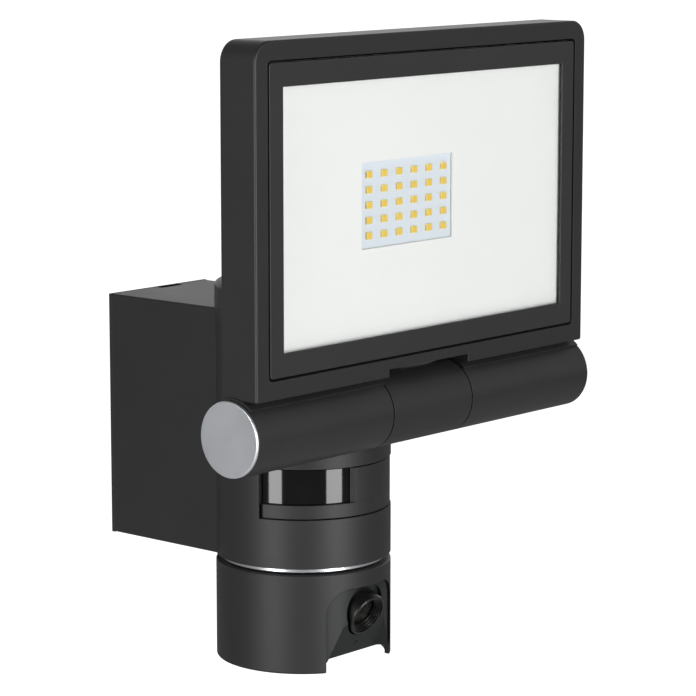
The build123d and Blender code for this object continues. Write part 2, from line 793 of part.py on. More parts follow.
# Outer barrels of the tilt hinge, closed towards the knuckle and open at the ends.
for side, barrel_name in ((-1, "barrel_left"), (1, "barrel_right")):
    with BuildPart() as barrel:
        with BuildSketch(Plane.YZ.offset(side * barrel_start)):
            with Locations((hinge_y, hinge_z)):
                Circle(barrel_radius)
        extrude(amount=side * barrel_length)
        with BuildSketch(Plane.YZ.offset(side * (barrel_start + barrel_wall))):
            with Locations((hinge_y, hinge_z)):
                Circle(barrel_radius - barrel_wall)
        extrude(amount=side * (barrel_length - barrel_wall), mode=Mode.SUBTRACT)
        with BuildSketch(Plane.YZ.offset(side * barrel_start)):
            with Locations((hinge_y, hinge_z)):
                Circle(axle_radius)
        extrude(amount=side * barrel_wall, mode=Mode.SUBTRACT)
    barrel.part.label = barrel_name
    export_step(barrel.part, f"parts/{barrel_name}.step")

# Bright end caps, pushed into the open ends of the barrels.
for side, cap_name in ((-1, "end_cap_left"), (1, "end_cap_right")):
    with BuildPart() as end_cap:
        with BuildSketch(Plane.YZ.offset(side * barrel_end_x)):
            with Locations((hinge_y, hinge_z)):
                Circle(end_cap_radius)
        extrude(amount=side * end_cap_proud)
        fillet(end_cap.faces().sort_by(Axis.X)[-1 if side > 0 else 0].edges(), end_cap_edge)
        with BuildSketch(Plane.YZ.offset(side * barrel_end_x)):
            with Locations((hinge_y, hinge_z)):
                Circle(barrel_radius - barrel_wall)
                Circle(barrel_radius - 2 * barrel_wall, mode=Mode.SUBTRACT)
        extrude(amount=-side * end_cap_plug)
    end_cap.part.label = cap_name
    export_step(end_cap.part, f"parts/{cap_name}.step")

# Hollow steel axle that the lamp turns on; the lamp's wires run through it.
with BuildPart() as tilt_axle:
    with BuildSketch(Plane.YZ.offset(-axle_half_length)):
        with Locations((hinge_y, hinge_z)):
            Circle(axle_radius)
            Circle(axle_bore_radius, mode=Mode.SUBTRACT)
    extrude(amount=2 * axle_half_length)
tilt_axle.part.label = "tilt_axle"
export_step(tilt_axle.part, "parts/tilt_axle.step")

# Nuts that clamp the barrels, the washers and the knuckle together.
with BuildPart() as axle_nuts:
    for side in (-1, 1):
        with BuildSketch(Plane.YZ.offset(side * (barrel_start + barrel_wall))):
            with Locations((hinge_y, hinge_z)):
                RegularPolygon(axle_nut_flats / 2, 6, major_radius=False)
                Circle(axle_radius, mode=Mode.SUBTRACT)
        extrude(amount=side * axle_nut_thick)
axle_nuts.part.label = "axle_nuts"
export_step(axle_nuts.part, "parts/axle_nuts.step")

# Front bezel: a flat frame with a short rim that drops into the tray.
with BuildPart() as bezel:
    with BuildSketch(Plane.XZ.offset(lamp_front)):
        with Locations((0, lamp_middle_z)):
            RectangleRounded(bezel_width, bezel_height, bezel_corner)
            Rectangle(opening_width, opening_height, mode=Mode.SUBTRACT)
    extrude(amount=-bezel_lip)
    with BuildSketch(Plane.XZ.offset(lamp_front - bezel_lip)):
        with Locations((0, lamp_middle_z)):
            RectangleRounded(bezel_width, bezel_height, bezel_corner)
            Rectangle(bezel_width - 2 * bezel_rim, bezel_height - 2 * bezel_rim, mode=Mode.SUBTRACT)
    extrude(amount=-(bezel_rim_depth - bezel_lip))
    fillet(bezel.faces().sort_by(Axis.Y)[0].edges(), bezel_edge)
bezel.part.label = "bezel"
export_step(bezel.part, "parts/bezel.step")

glass_width = bezel_width - 2 * bezel_rim - 2 * seat_gap
glass_height = bezel_height - 2 * bezel_rim - 2 * seat_gap
with BuildPart() as front_glass:
    with BuildSketch(Plane.XZ.offset(glass_front)):
        with Locations((0, lamp_middle_z)):
            Rectangle(glass_width, glass_height)
    extrude(amount=-glass_thick)
front_glass.part.label = "front_glass"
export_step(front_glass.part, "parts/front_glass.step")

with BuildPart() as glass_seal:
    with BuildSketch(Plane.XZ.offset(glass_back)):
        with Locations((0, lamp_middle_z)):
            Rectangle(glass_width, glass_height)
            Rectangle(
                glass_width - 2 * glass_seal_width,
                glass_height - 2 * glass_seal_width,
                mode=Mode.SUBTRACT,
            )
    extrude(amount=-glass_seal_thick)
glass_seal.part.label = "glass_seal"
export_step(glass_seal.part, "parts/glass_seal.step")

# White reflector plate on the tray's corner bosses, with a window for the light board.
with BuildPart() as reflector:
    with BuildSketch(Plane.XZ.offset(reflector_front)):
        with Locations((0, lamp_middle_z)):
            RectangleRounded(bezel_width, bezel_height, bezel_corner)
        with Locations((led_window_x, led_window_z)):
            Rectangle(led_window_width, led_window_height, mode=Mode.SUBTRACT)
        with Locations((0, lamp_middle_z)):
            with GridLocations(2 * boss_x, 2 * boss_z, 2, 2):
                Circle(lamp_screw_radius, mode=Mode.SUBTRACT)
    extrude(amount=-reflector_thick)
reflector.part.label = "reflector"
export_step(reflector.part, "parts/reflector.step")

with BuildPart() as led_board:
    with BuildSketch(Plane.XZ.offset(led_board_front)):
        with Locations((led_window_x, led_window_z)):
            Rectangle(
                led_window_width + 2 * led_board_margin, led_window_height + 2 * led_board_margin
            )
    extrude(amount=-led_board_thick)
led_board.part.label = "led_board"
export_step(led_board.part, "parts/led_board.step")

with BuildPart() as leds:
    with BuildSketch(Plane.XZ.offset(led_board_front)):
        with Locations((led_window_x, led_window_z)):
            with GridLocations(led_pitch_x, led_pitch_z, led_columns, led_rows):
                Rectangle(led_width, led_height)
    extrude(amount=led_thick)
leds.part.label = "leds"
export_step(leds.part, "parts/leds.step")

# Aluminium plate on four legs that carries the light board's heat to the tray's back.
spreader_width = led_window_width + 2 * led_board_margin + 2 * spreader_margin
spreader_height = led_window_height + 2 * led_board_margin + 2 * spreader_margin
with BuildPart() as heat_spreader:
    with BuildSketch(Plane.XZ.offset(led_board_back)):
        with Locations((led_window_x, led_window_z)):
            RectangleRounded(spreader_width, spreader_height, spreader_leg_radius)
    extrude(amount=-spreader_thick)
    with BuildSketch(Plane.XZ.offset(spreader_back)):
        with Locations((led_window_x, led_window_z)):
            with GridLocations(
                spreader_width - 2 * spreader_leg_radius,
                spreader_height - 2 * spreader_leg_radius,
                2,
                2,
            ):
                Circle(spreader_leg_radius)
    extrude(amount=-(spreader_back - cavity_back))
heat_spreader.part.label = "heat_spreader"
export_step(heat_spreader.part, "parts/heat_spreader.step")

# Four screws in the tray's back, under the corner bosses.
with BuildPart() as lamp_screws:
    with BuildSketch(Plane.XZ.offset(lamp_back)):
        with Locations((0, lamp_middle_z)):
            with GridLocations(2 * boss_x, 2 * boss_z, 2, 2):
                Circle(lamp_screw_radius)
    extrude(amount=lamp_back_wall + lamp_screw_bite)
    with BuildSketch(Plane.XZ.offset(lamp_back)):
        with Locations((0, lamp_middle_z)):
            with GridLocations(2 * boss_x, 2 * boss_z, 2, 2):
                Circle(lamp_screw_head_radius)
    extrude(amount=-lamp_screw_head)
lamp_screws.part.label = "lamp_screws"
export_step(lamp_screws.part, "parts/lamp_screws.step")

# Breather plug in the tray's back.
with BuildPart() as vent_plug:
    with BuildSketch(Plane.XZ.offset(lamp_back)):
        with Locations((0, vent_z)):
            Circle(vent_radius)
    extrude(amount=-vent_height)
    fillet(vent_plug.faces().sort_by(Axis.Y)[-1].edges(), vent_edge)
    with BuildSketch(Plane.XZ.offset(lamp_back)):
        with Locations((0, vent_z)):
            Circle(vent_stem_radius)
    extrude(amount=lamp_back_wall + vent_stem_tail)
vent_plug.part.label = "vent_plug"
export_step(vent_plug.part, "parts/vent_plug.step")

# ================================================================== camera head
# The lens looks forwards and down. lens_plane lies in the lens plate, z out of it.
facing_down = Vector(0, -cos(radians(plate_tilt)), -sin(radians(plate_tilt)))
lens_origin = Vector(0, lens_axis_y, lens_centre_z)
lens_plane = Plane(origin=lens_origin, x_dir=(1, 0, 0), z_dir=facing_down)
hood_mouth = lens_plane.offset(hood_proud)


def plate_y(z):
    """The lens plate's y at a height."""
    return lens_axis_y - tan(radians(plate_tilt)) * (z - lens_centre_z)


def recess_section(z):
    """Outline of the recess in front of the lens plate, at a height."""
    half = plate_half_width + plate_taper * (lens_centre_z - z)
    run = 30.0
    back = plate_y(z)
    Polygon(
        (-half, back),
        (-half - side_flare * run, back - run),
        (half + side_flare * run, back - run),
        (half, back),
        align=None,
    )


with BuildPart() as camera_shell:
    with BuildSketch(Plane.XY.offset(head_bottom)):
        with Locations(column_axis):
            Circle(head_radius)
    extrude(amount=head_height)
    fillet(camera_shell.faces().sort_by(Axis.Z)[0].edges(), head_bottom_edge)
    fillet(camera_shell.faces().sort_by(Axis.Z)[-1].edges(), head_top_edge)
    with BuildSketch(Plane.XY.offset(head_bottom)):
        with Locations(column_axis):
            Circle(head_radius - head_wall)
    extrude(amount=head_height - deck_thick, mode=Mode.SUBTRACT)
    with BuildSketch(Plane.XZ.offset(column_reach + arch_half_width)) as arch:
        with Locations((0, (arch_top + head_bottom) / 2)):
            Rectangle(2 * arch_half_width, arch_top - head_bottom)
        fillet(arch.vertices().group_by(Axis.Y)[-1], arch_corner)
    extrude(amount=head_radius, mode=Mode.SUBTRACT)
    with BuildSketch(Plane.XY.offset(head_top)):
        with Locations(column_axis):
            Circle(spigot_radius)
    extrude(amount=trim_gap + trim_height + deck_thick + contact_gap + retainer_thick)
    with BuildSketch(Plane.XY.offset(head_top - deck_thick)):
        with Locations(column_axis):
            Circle(spigot_bore_radius)
    extrude(amount=2 * head_height, mode=Mode.SUBTRACT)
    for angle in cover_screw_angles:
        with BuildSketch(Plane.XY.offset(cover_high)):
            with Locations(at_angle(cover_screw_circle, angle)):
                Circle(cover_boss_radius)
        extrude(amount=head_top - deck_thick - cover_high)
        with BuildSketch(Plane.XY.offset(cover_high)):
            with Locations(at_angle(cover_screw_circle, angle)):
                Circle(cover_screw_radius)
        extrude(amount=cover_screw_length, mode=Mode.SUBTRACT)
camera_shell.part.label = "camera_shell"
export_step(camera_shell.part, "parts/camera_shell.step")

# Glossy insert in the arch: it carries the lens plate and the lens pocket.
insert_radius = head_radius - insert_recess
insert_half = arch_half_width - contact_gap
insert_back_y = column_reach + head_radius - insert_depth
hollow_top = arch_top - contact_gap - insert_wall
pocket_plane = Plane(
    origin=lens_origin + Vector(0, -sin(radians(plate_tilt)), cos(radians(plate_tilt))) * pocket_rise,
    x_dir=(1, 0, 0),
    z_dir=facing_down,
)
with BuildPart() as camera_insert:
    with BuildSketch(Plane.XZ.offset(insert_back_y)) as insert_arch:
        with Locations((0, (arch_top - contact_gap + cover_low) / 2)):
            Rectangle(2 * insert_half, arch_top - contact_gap - cover_low)
        fillet(insert_arch.vertices().group_by(Axis.Y)[-1], arch_corner - contact_gap)
    extrude(amount=head_radius)
    with BuildSketch(Plane.XY.offset(cover_low)):
        with Locations(column_axis):
            Circle(insert_radius)
    extrude(amount=head_height, mode=Mode.INTERSECT)
    with BuildSketch(Plane.XY.offset(cover_low)):
        recess_section(cover_low)
    with BuildSketch(Plane.XY.offset(arch_top)):
        recess_section(arch_top)
    loft(ruled=True, mode=Mode.SUBTRACT)
    with BuildSketch(Plane.YZ.offset(-insert_half + 2 * insert_wall)):
        Polygon(
            (plate_y(cover_low) + 3 * insert_wall, cover_low),
            (-insert_back_y, cover_low),
            (-insert_back_y, hollow_top),
            (plate_y(hollow_top) + 2 * pocket_depth, hollow_top),
            align=None,
        )
    extrude(amount=2 * insert_half - 4 * insert_wall, mode=Mode.SUBTRACT)
    with BuildSketch(pocket_plane.offset(-pocket_depth)):
        Circle(pocket_radius)
    extrude(amount=3 * pocket_depth, mode=Mode.SUBTRACT)
    with BuildSketch(lens_plane):
        Circle(hood_mouth_radius - hood_seat)
    extrude(amount=-2 * insert_depth, mode=Mode.SUBTRACT)
    with BuildSketch(lens_plane):
        with Locations((0, -mic_hole_drop)):
            with PolarLocations(mic_hole_circle, 3):
                Circle(mic_hole_radius)
    extrude(amount=-insert_wall, mode=Mode.SUBTRACT)
    with BuildSketch(lens_plane.offset(-insert_wall)):
        with Locations((0, -mic_hole_drop)):
            Circle(mic_radius + seat_gap)
    extrude(amount=-insert_depth, mode=Mode.SUBTRACT)
camera_insert.part.label = "camera_insert"
export_step(camera_insert.part, "parts/camera_insert.step")

# Stepped hood round the lens.
with BuildPart() as lens_hood:
    with BuildSketch(hood_mouth):
        Circle(hood_radius)
    extrude(amount=-(pocket_depth + hood_proud))
    fillet(lens_hood.faces().sort_by(Axis.Y)[0].edges(), hood_edge)
    for step in range(hood_steps):
        with BuildSketch(hood_mouth.offset(-step * hood_step)):
            Circle(hood_mouth_radius - step * hood_step_in)
        extrude(amount=-hood_step, mode=Mode.SUBTRACT)
    with BuildSketch(hood_mouth):
        Circle(lens_disc_radius + seat_gap)
    extrude(amount=-2 * (pocket_depth + hood_proud), mode=Mode.SUBTRACT)
lens_hood.part.label = "lens_hood"
export_step(lens_hood.part, "parts/lens_hood.step")

# Front lens element: a flat-backed dome.
lens_seat = hood_steps * hood_step + lens_dome_rise
dome_radius = (lens_disc_radius**2 + lens_dome_rise**2) / (2 * lens_dome_rise)
with BuildPart() as lens_glass:
    with BuildSketch(hood_mouth.offset(-lens_seat)):
        Circle(lens_disc_radius)
    extrude(amount=-lens_disc_thick)
    with Locations(hood_mouth.offset(-lens_seat + lens_dome_rise - dome_radius)):
        cap = Sphere(dome_radius, mode=Mode.PRIVATE)
    with BuildSketch(hood_mouth.offset(-lens_seat)):
        Circle(lens_disc_radius)
    dome = extrude(amount=lens_dome_rise, mode=Mode.PRIVATE)
    add(dome & cap)
lens_glass.part.label = "lens_glass"
export_step(lens_glass.part, "parts/lens_glass.step")

lens_barrel_front = hood_mouth.offset(-lens_seat - lens_disc_thick)
with BuildPart() as lens_barrel:
    with BuildSketch(lens_barrel_front):
        Circle(lens_disc_radius)
        Circle(lens_disc_radius - lens_barrel_wall, mode=Mode.SUBTRACT)
    extrude(amount=-lens_barrel_length)
lens_barrel.part.label = "lens_barrel"
export_step(lens_barrel.part, "parts/lens_barrel.step")

board_front = lens_barrel_front.offset(-lens_barrel_length)
with BuildPart() as camera_board:
    with BuildSketch(board_front):
        Rectangle(camera_board_size, camera_board_size)
    extrude(amount=-camera_board_thick)
camera_board.part.label = "camera_board"
export_step(camera_board.part, "parts/camera_board.step")

with BuildPart() as image_sensor:
    with BuildSketch(board_front):
        Rectangle(image_sensor_size, image_sensor_size)
    extrude(amount=image_sensor_thick)
image_sensor.part.label = "image_sensor"
export_step(image_sensor.part, "parts/image_sensor.step")

# Flat cover under the head, with the speaker's slots and the button's hole.
cover_radius = head_radius - head_wall - seat_gap
with BuildPart() as bottom_cover:
    with BuildSketch(Plane.XY.offset(cover_low)):
        with Locations(column_axis):
            Circle(cover_radius)
        with Locations((0, -insert_back_y - head_radius / 2 + seat_gap)):
            Rectangle(2 * insert_half + 2 * contact_gap, head_radius, mode=Mode.SUBTRACT)
        with Locations((0, speaker_y)):
            with GridLocations(1, speaker_slot_pitch, 1, speaker_slot_count):
                SlotOverall(speaker_slot_length, speaker_slot_width, mode=Mode.SUBTRACT)
        with Locations((button_x, button_y)):
            Circle(button_radius + contact_gap, mode=Mode.SUBTRACT)
        for angle in cover_screw_angles:
            with Locations(at_angle(cover_screw_circle, angle)):
                Circle(cover_screw_radius, mode=Mode.SUBTRACT)
    extrude(amount=cover_thick)
bottom_cover.part.label = "bottom_cover"
export_step(bottom_cover.part, "parts/bottom_cover.step")

with BuildPart() as cover_screws:
    for angle in cover_screw_angles:
        with BuildSketch(Plane.XY.offset(cover_low)):
            with Locations(at_angle(cover_screw_circle, angle)):
                Circle(cover_screw_radius)
        extrude(amount=cover_thick + cover_screw_length - 1)
        with BuildSketch(Plane.XY.offset(cover_low)):
            with Locations(at_angle(cover_screw_circle, angle)):
                Circle(cover_screw_head_radius)
        extrude(amount=-cover_screw_head)
cover_screws.part.label = "cover_screws"
export_step(cover_screws.part, "parts/cover_screws.step")

with BuildPart() as speaker:
    with BuildSketch(Plane.XY.offset(cover_high)):
        with Locations((0, speaker_y)):
            Circle(speaker_radius)
            Circle(speaker_radius - speaker_rim, mode=Mode.SUBTRACT)
    extrude(amount=speaker_thick)
    with BuildSketch(Plane.XY.offset(cover_high + speaker_rim)):
        with Locations((0, speaker_y)):
            Circle(speaker_radius - speaker_rim)
    extrude(amount=speaker_thick - speaker_rim)
speaker.part.label = "speaker"
export_step(speaker.part, "parts/speaker.step")

with BuildPart() as microphone:
    with BuildSketch(lens_plane.offset(-insert_wall)):
        with Locations((0, -mic_hole_drop)):
            Circle(mic_radius)
    extrude(amount=-mic_thick)
microphone.part.label = "microphone"
export_step(microphone.part, "parts/microphone.step")

radio_board_top = head_top - deck_thick - radio_board_gap
with BuildPart() as radio_board:
    with BuildSketch(Plane.XZ.offset(column_reach - radio_board_setback)):
        with Locations((0, radio_board_top - radio_board_height / 2)):
            Rectangle(radio_board_width, radio_board_height)
    extrude(amount=board_thick)
radio_board.part.label = "radio_board"
export_step(radio_board.part, "parts/radio_board.step")

# Ring nut that holds the head's spigot above the column's bottom deck.
with BuildPart() as pan_retainer:
    with BuildSketch(Plane.XY.offset(cavity_bottom + contact_gap)):
        with Locations(column_axis):
            Circle(retainer_radius)
            Circle(spigot_radius, mode=Mode.SUBTRACT)
    extrude(amount=retainer_thick)
pan_retainer.part.label = "pan_retainer"
export_step(pan_retainer.part, "parts/pan_retainer.step")

# ================================================================== reset button
flange_low = cover_high + contact_gap
with BuildPart() as reset_button:
    with BuildSketch(Plane.XY.offset(cover_low - button_proud)):
        with Locations((button_x, button_y)):
            Circle(button_radius)
    extrude(amount=button_proud + cover_thick + contact_gap)
    fillet(reset_button.faces().sort_by(Axis.Z)[0].edges(), button_edge)
    with BuildSketch(Plane.XY.offset(flange_low)):
        with Locations((button_x, button_y)):
            Circle(button_radius + button_flange)
    extrude(amount=button_flange_thick)
reset_button.part.label = "reset_button"
export_step(reset_button.part, "parts/reset_button.step")

switch_low = flange_low + button_flange_thick + button_travel + contact_gap
with BuildPart() as button_switch:
    with BuildSketch(Plane.XY.offset(switch_low)):
        with Locations((button_x, button_y)):
            Rectangle(switch_width, switch_width)
    extrude(amount=switch_height)
button_switch.part.label = "button_switch"
export_step(button_switch.part, "parts/button_switch.step")
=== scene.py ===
import json
from math import cos, pi, radians, sin

import bmesh
import bpy
from mathutils import Matrix, Vector


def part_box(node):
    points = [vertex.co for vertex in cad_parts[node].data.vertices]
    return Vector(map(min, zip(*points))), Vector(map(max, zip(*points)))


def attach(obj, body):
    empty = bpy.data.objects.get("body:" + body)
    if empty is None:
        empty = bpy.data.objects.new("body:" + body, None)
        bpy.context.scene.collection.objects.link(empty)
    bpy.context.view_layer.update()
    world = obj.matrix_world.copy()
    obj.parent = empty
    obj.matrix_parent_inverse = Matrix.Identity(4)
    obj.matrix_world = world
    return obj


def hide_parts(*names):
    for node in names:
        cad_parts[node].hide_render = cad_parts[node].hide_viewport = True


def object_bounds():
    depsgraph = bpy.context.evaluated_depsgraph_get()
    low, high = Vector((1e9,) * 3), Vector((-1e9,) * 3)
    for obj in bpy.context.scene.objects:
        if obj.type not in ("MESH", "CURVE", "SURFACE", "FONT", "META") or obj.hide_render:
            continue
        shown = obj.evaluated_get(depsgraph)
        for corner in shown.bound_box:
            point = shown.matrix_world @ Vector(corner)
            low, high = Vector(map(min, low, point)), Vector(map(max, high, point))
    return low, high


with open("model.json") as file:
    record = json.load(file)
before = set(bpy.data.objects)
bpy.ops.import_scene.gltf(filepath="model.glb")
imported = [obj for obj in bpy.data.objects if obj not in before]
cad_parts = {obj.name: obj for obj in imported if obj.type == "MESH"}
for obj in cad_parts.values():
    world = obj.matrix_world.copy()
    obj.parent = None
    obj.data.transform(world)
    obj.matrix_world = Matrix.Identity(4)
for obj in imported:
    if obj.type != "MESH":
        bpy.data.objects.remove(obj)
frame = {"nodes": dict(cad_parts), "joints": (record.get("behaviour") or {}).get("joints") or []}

cad_box = [list(corner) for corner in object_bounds()]

# ---------------------------------------------------------------- wall plate
# Zinc-plated steel plate with folded tabs. It goes on the wall first, and the housing hangs on it.
# Pressed from sheet, so it is bright, faintly spangled and softly bruised along its cut edges.


def add_node(tree, kind, **values):
    """Add a node and set its named inputs; spaces in an input's name are written as _."""
    node = tree.nodes.new(kind)
    for name, value in values.items():
        node.inputs[name.replace("_", " ")].default_value = value
    return node


def wire(tree, source, output, target, socket):
    """Join one node's named output to another node's named input."""
    tree.links.new(source.outputs[output], target.inputs[socket])


def maths(tree, operation, *sides, clamp=False):
    """A maths node; each side is a number or an output socket."""
    node = tree.nodes.new("ShaderNodeMath")
    node.operation = operation
    node.use_clamp = clamp
    for index, side in enumerate(sides):
        if isinstance(side, (int, float)):
            node.inputs[index].default_value = side
        else:
            tree.links.new(side, node.inputs[index])
    return node.outputs["Value"]


def vector_maths(tree, operation, first, second, result="Vector"):
    """A vector maths node; each side is a vector's three numbers or an output socket."""
    node = tree.nodes.new("ShaderNodeVectorMath")
    node.operation = operation
    for index, side in enumerate((first, second)):
        if isinstance(side, bpy.types.NodeSocket):
            tree.links.new(side, node.inputs[index])
        else:
            node.inputs[index].default_value = side
    return node.outputs[result]


def blend_colours(tree, factor, under, over):
    """Mix two colours by an output socket; each colour is four numbers or an output socket."""
    node = tree.nodes.new("ShaderNodeMix")
    node.data_type = "RGBA"
    tree.links.new(factor, node.inputs[0])
    for index, side in ((6, under), (7, over)):
        if isinstance(side, tuple):
            node.inputs[index].default_value = side
        else:
            tree.links.new(side, node.inputs[index])
    return node.outputs[2]


def new_group(name, inputs, outputs):
    """An empty shader node group: numbers go in, and numbers or a normal come out."""
    group = bpy.data.node_groups.new(name, "ShaderNodeTree")
    for socket, value in inputs:
        item = group.interface.new_socket(socket, in_out="INPUT", socket_type="NodeSocketFloat")
        item.default_value = value
    for socket in outputs:
        kind = "NodeSocketVector" if socket == "Normal" else "NodeSocketFloat"
        group.interface.new_socket(socket, in_out="OUTPUT", socket_type=kind)
    return group, group.nodes.new("NodeGroupInput"), group.nodes.new("NodeGroupOutput")


def make_grain_group():
    """Fine surface texture and slow colour drift, both in the piece's own coordinates."""
    speckle_share = 0.45     # scale of the speckle, as a share of the grain's
    group, given, result = new_group(
        "fine_grain", [("Scale", 2500.0), ("Drift Scale", 30.0)], ["Height", "Speckle", "Drift"]
    )
    place = group.nodes.new("ShaderNodeTexCoord")
    grain = add_node(group, "ShaderNodeTexNoise", Detail=3.0, Roughness=0.6)
    speckle = add_node(group, "ShaderNodeTexNoise", Detail=1.0, Roughness=0.5)
    drift = add_node(group, "ShaderNodeTexNoise", Detail=2.0, Roughness=0.55)
    for texture in (grain, speckle, drift):
        wire(group, place, "Object", texture, "Vector")
    wire(group, given, "Scale", grain, "Scale")
    speckle_scale = maths(group, "MULTIPLY", given.outputs["Scale"], speckle_share)
    group.links.new(speckle_scale, speckle.inputs["Scale"])
    wire(group, given, "Drift Scale", drift, "Scale")
    wire(group, grain, "Fac", result, "Height")
    wire(group, speckle, "Fac", result, "Speckle")
    wire(group, drift, "Fac", result, "Drift")
    return group


def make_edge_group():
    """Where a corner has been rubbed: a mask that grows to the edges, and the eased normal."""
    break_contrast, break_level = 2.4, -0.7     # how sharply the wear breaks into patches
    group, given, result = new_group(
        "rubbed_edges",
        [("Radius", 0.0004), ("Reach", 0.12), ("Breakup", 400.0)],
        ["Mask", "Normal"],
    )
    eased = group.nodes.new("ShaderNodeBevel")
    eased.samples = 6
    wire(group, given, "Radius", eased, "Radius")
    plain = group.nodes.new("ShaderNodeNewGeometry")
    lean = vector_maths(
        group, "DOT_PRODUCT", eased.outputs["Normal"], plain.outputs["Normal"], "Value"
    )
    turned = maths(group, "SUBTRACT", 1.0, lean)
    near = maths(group, "DIVIDE", turned, given.outputs["Reach"], clamp=True)
    place = group.nodes.new("ShaderNodeTexCoord")
    patches = add_node(group, "ShaderNodeTexNoise", Detail=4.0, Roughness=0.65)
    wire(group, place, "Object", patches, "Vector")
    wire(group, given, "Breakup", patches, "Scale")
    broken = maths(
        group, "MULTIPLY_ADD", patches.outputs["Fac"], break_contrast, break_level, clamp=True
    )
    group.links.new(maths(group, "MULTIPLY", near, broken), result.inputs["Mask"])
    wire(group, eased, "Normal", result, "Normal")
    return group


def make_dust_group():
    """A thin settling of dust on whatever faces up, thicker in patches."""
    group, given, result = new_group("settled_dust", [("Amount", 0.1), ("Scale", 55.0)], ["Mask"])
    facing = group.nodes.new("ShaderNodeNewGeometry")
    parts = group.nodes.new("ShaderNodeSeparateXYZ")
    group.links.new(facing.outputs["Normal"], parts.inputs[0])
    upward = maths(group, "MAXIMUM", parts.outputs["Z"], 0.0)
    place = group.nodes.new("ShaderNodeTexCoord")
    patches = add_node(group, "ShaderNodeTexNoise", Detail=6.0, Roughness=0.7)
    wire(group, place, "Object", patches, "Vector")
    wire(group, given, "Scale", patches, "Scale")
    lying = maths(group, "MULTIPLY", upward, patches.outputs["Fac"])
    group.links.new(maths(group, "MULTIPLY", lying, given.outputs["Amount"]), result.inputs["Mask"])
    return group


fine_grain = make_grain_group()
rubbed_edges = make_edge_group()
settled_dust = make_dust_group()
dust_colour = (0.42, 0.40, 0.37, 1.0)


def place_group(tree, group, **values):
    """Put a node group in a material with its own values."""
    node = tree.nodes.new("ShaderNodeGroup")
    node.node_tree = group
    for name, value in values.items():
        node.inputs[name.replace("_", " ")].default_value = value
    return node


def shade(colour, factor):
    """The same colour, lighter or darker, with its alpha kept."""
    return (colour[0] * factor, colour[1] * factor, colour[2] * factor, 1.0)


def surface(
    name,
    colour,
    roughness,
    worn_colour,
    metallic=0.0,
    grain_scale=2500.0,
    grain_depth=0.00002,
    grain_strength=0.25,
    edge_radius=0.0004,
    wear=0.35,
    drift=0.08,
    speckle=0.06,
    dust=0.05,
    roughness_spread=0.08,
    **fixed,
):
    """One opaque finish: grain, drift of colour, rubbed edges and a little dust."""
    material = bpy.data.materials.new(name)
    material.use_nodes = True
    tree = material.node_tree
    shader = tree.nodes["Principled BSDF"]
    shader.inputs["Metallic"].default_value = metallic
    for socket, value in fixed.items():
        shader.inputs[socket.replace("_", " ")].default_value = value
    grain = place_group(tree, fine_grain, Scale=grain_scale)
    edges = place_group(tree, rubbed_edges, Radius=edge_radius)
    dusted = place_group(tree, settled_dust, Amount=dust)

    slow = maths(tree, "MULTIPLY_ADD", grain.outputs["Drift"], 2.0 * drift, 1.0 - drift)
    quick = maths(tree, "MULTIPLY_ADD", grain.outputs["Speckle"], 2.0 * speckle, -speckle)
    tone = maths(tree, "ADD", slow, quick)
    tinted = tree.nodes.new("ShaderNodeVectorMath")
    tinted.operation = "SCALE"
    tinted.inputs[0].default_value = colour[:3]
    tree.links.new(tone, tinted.inputs["Scale"])
    rubbed = maths(tree, "MULTIPLY", edges.outputs["Mask"], wear)
    with_wear = blend_colours(tree, rubbed, tinted.outputs["Vector"], worn_colour)
    with_dust = blend_colours(tree, dusted.outputs["Mask"], with_wear, dust_colour)
    tree.links.new(with_dust, shader.inputs["Base Color"])

    least = roughness - roughness_spread / 2
    rough = maths(tree, "MULTIPLY_ADD", grain.outputs["Drift"], roughness_spread, least)
    rough_dust = maths(tree, "ADD", rough, dusted.outputs["Mask"], clamp=True)
    tree.links.new(rough_dust, shader.inputs["Roughness"])

    relief = add_node(tree, "ShaderNodeBump", Strength=grain_strength, Distance=grain_depth)
    wire(tree, grain, "Height", relief, "Height")
    wire(tree, edges, "Normal", relief, "Normal")
    wire(tree, relief, "Normal", shader, "Normal")
    return material


def finish_node(node, material):
    """Give a CAD piece its finish, on every face."""
    mesh = frame["nodes"][node].data
    mesh.materials.clear()
    mesh.materials.append(material)


zinc_plating = surface(
    "zinc_plating",
    (0.58, 0.59, 0.60, 1.0),
    0.34,
    metallic=1.0,
    grain_scale=900.0,
    grain_strength=0.12,
    worn_colour=(0.72, 0.72, 0.71, 1.0),
    wear=0.6,
    drift=0.12,
    dust=0.1,
)
finish_node("wall_plate", zinc_plating)

# ---------------------------------------------------------------- wall seal and cable grommet
# Foamed rubber strip that lies between the housing and the wall, and the moulded rubber bush in
# the plate's cable hole. Both are black, dull and slightly bloomed with age.

black_rubber = surface(
    "black_rubber",
    (0.018, 0.018, 0.019, 1.0),
    0.78,
    grain_scale=1400.0,
    grain_depth=0.00006,
    grain_strength=0.5,
    worn_colour=(0.07, 0.07, 0.07, 1.0),
    drift=0.2,
    dust=0.12,
)
for rubber_piece in ("wall_seal", "cable_grommet"):
    finish_node(rubber_piece, black_rubber)

# ---------------------------------------------------------------- driver board and its parts
# Glass-fibre board with the mains side of the electronics: a wound transformer in black tape,
# capacitors in printed sleeves, and a black terminal block with plated screws.


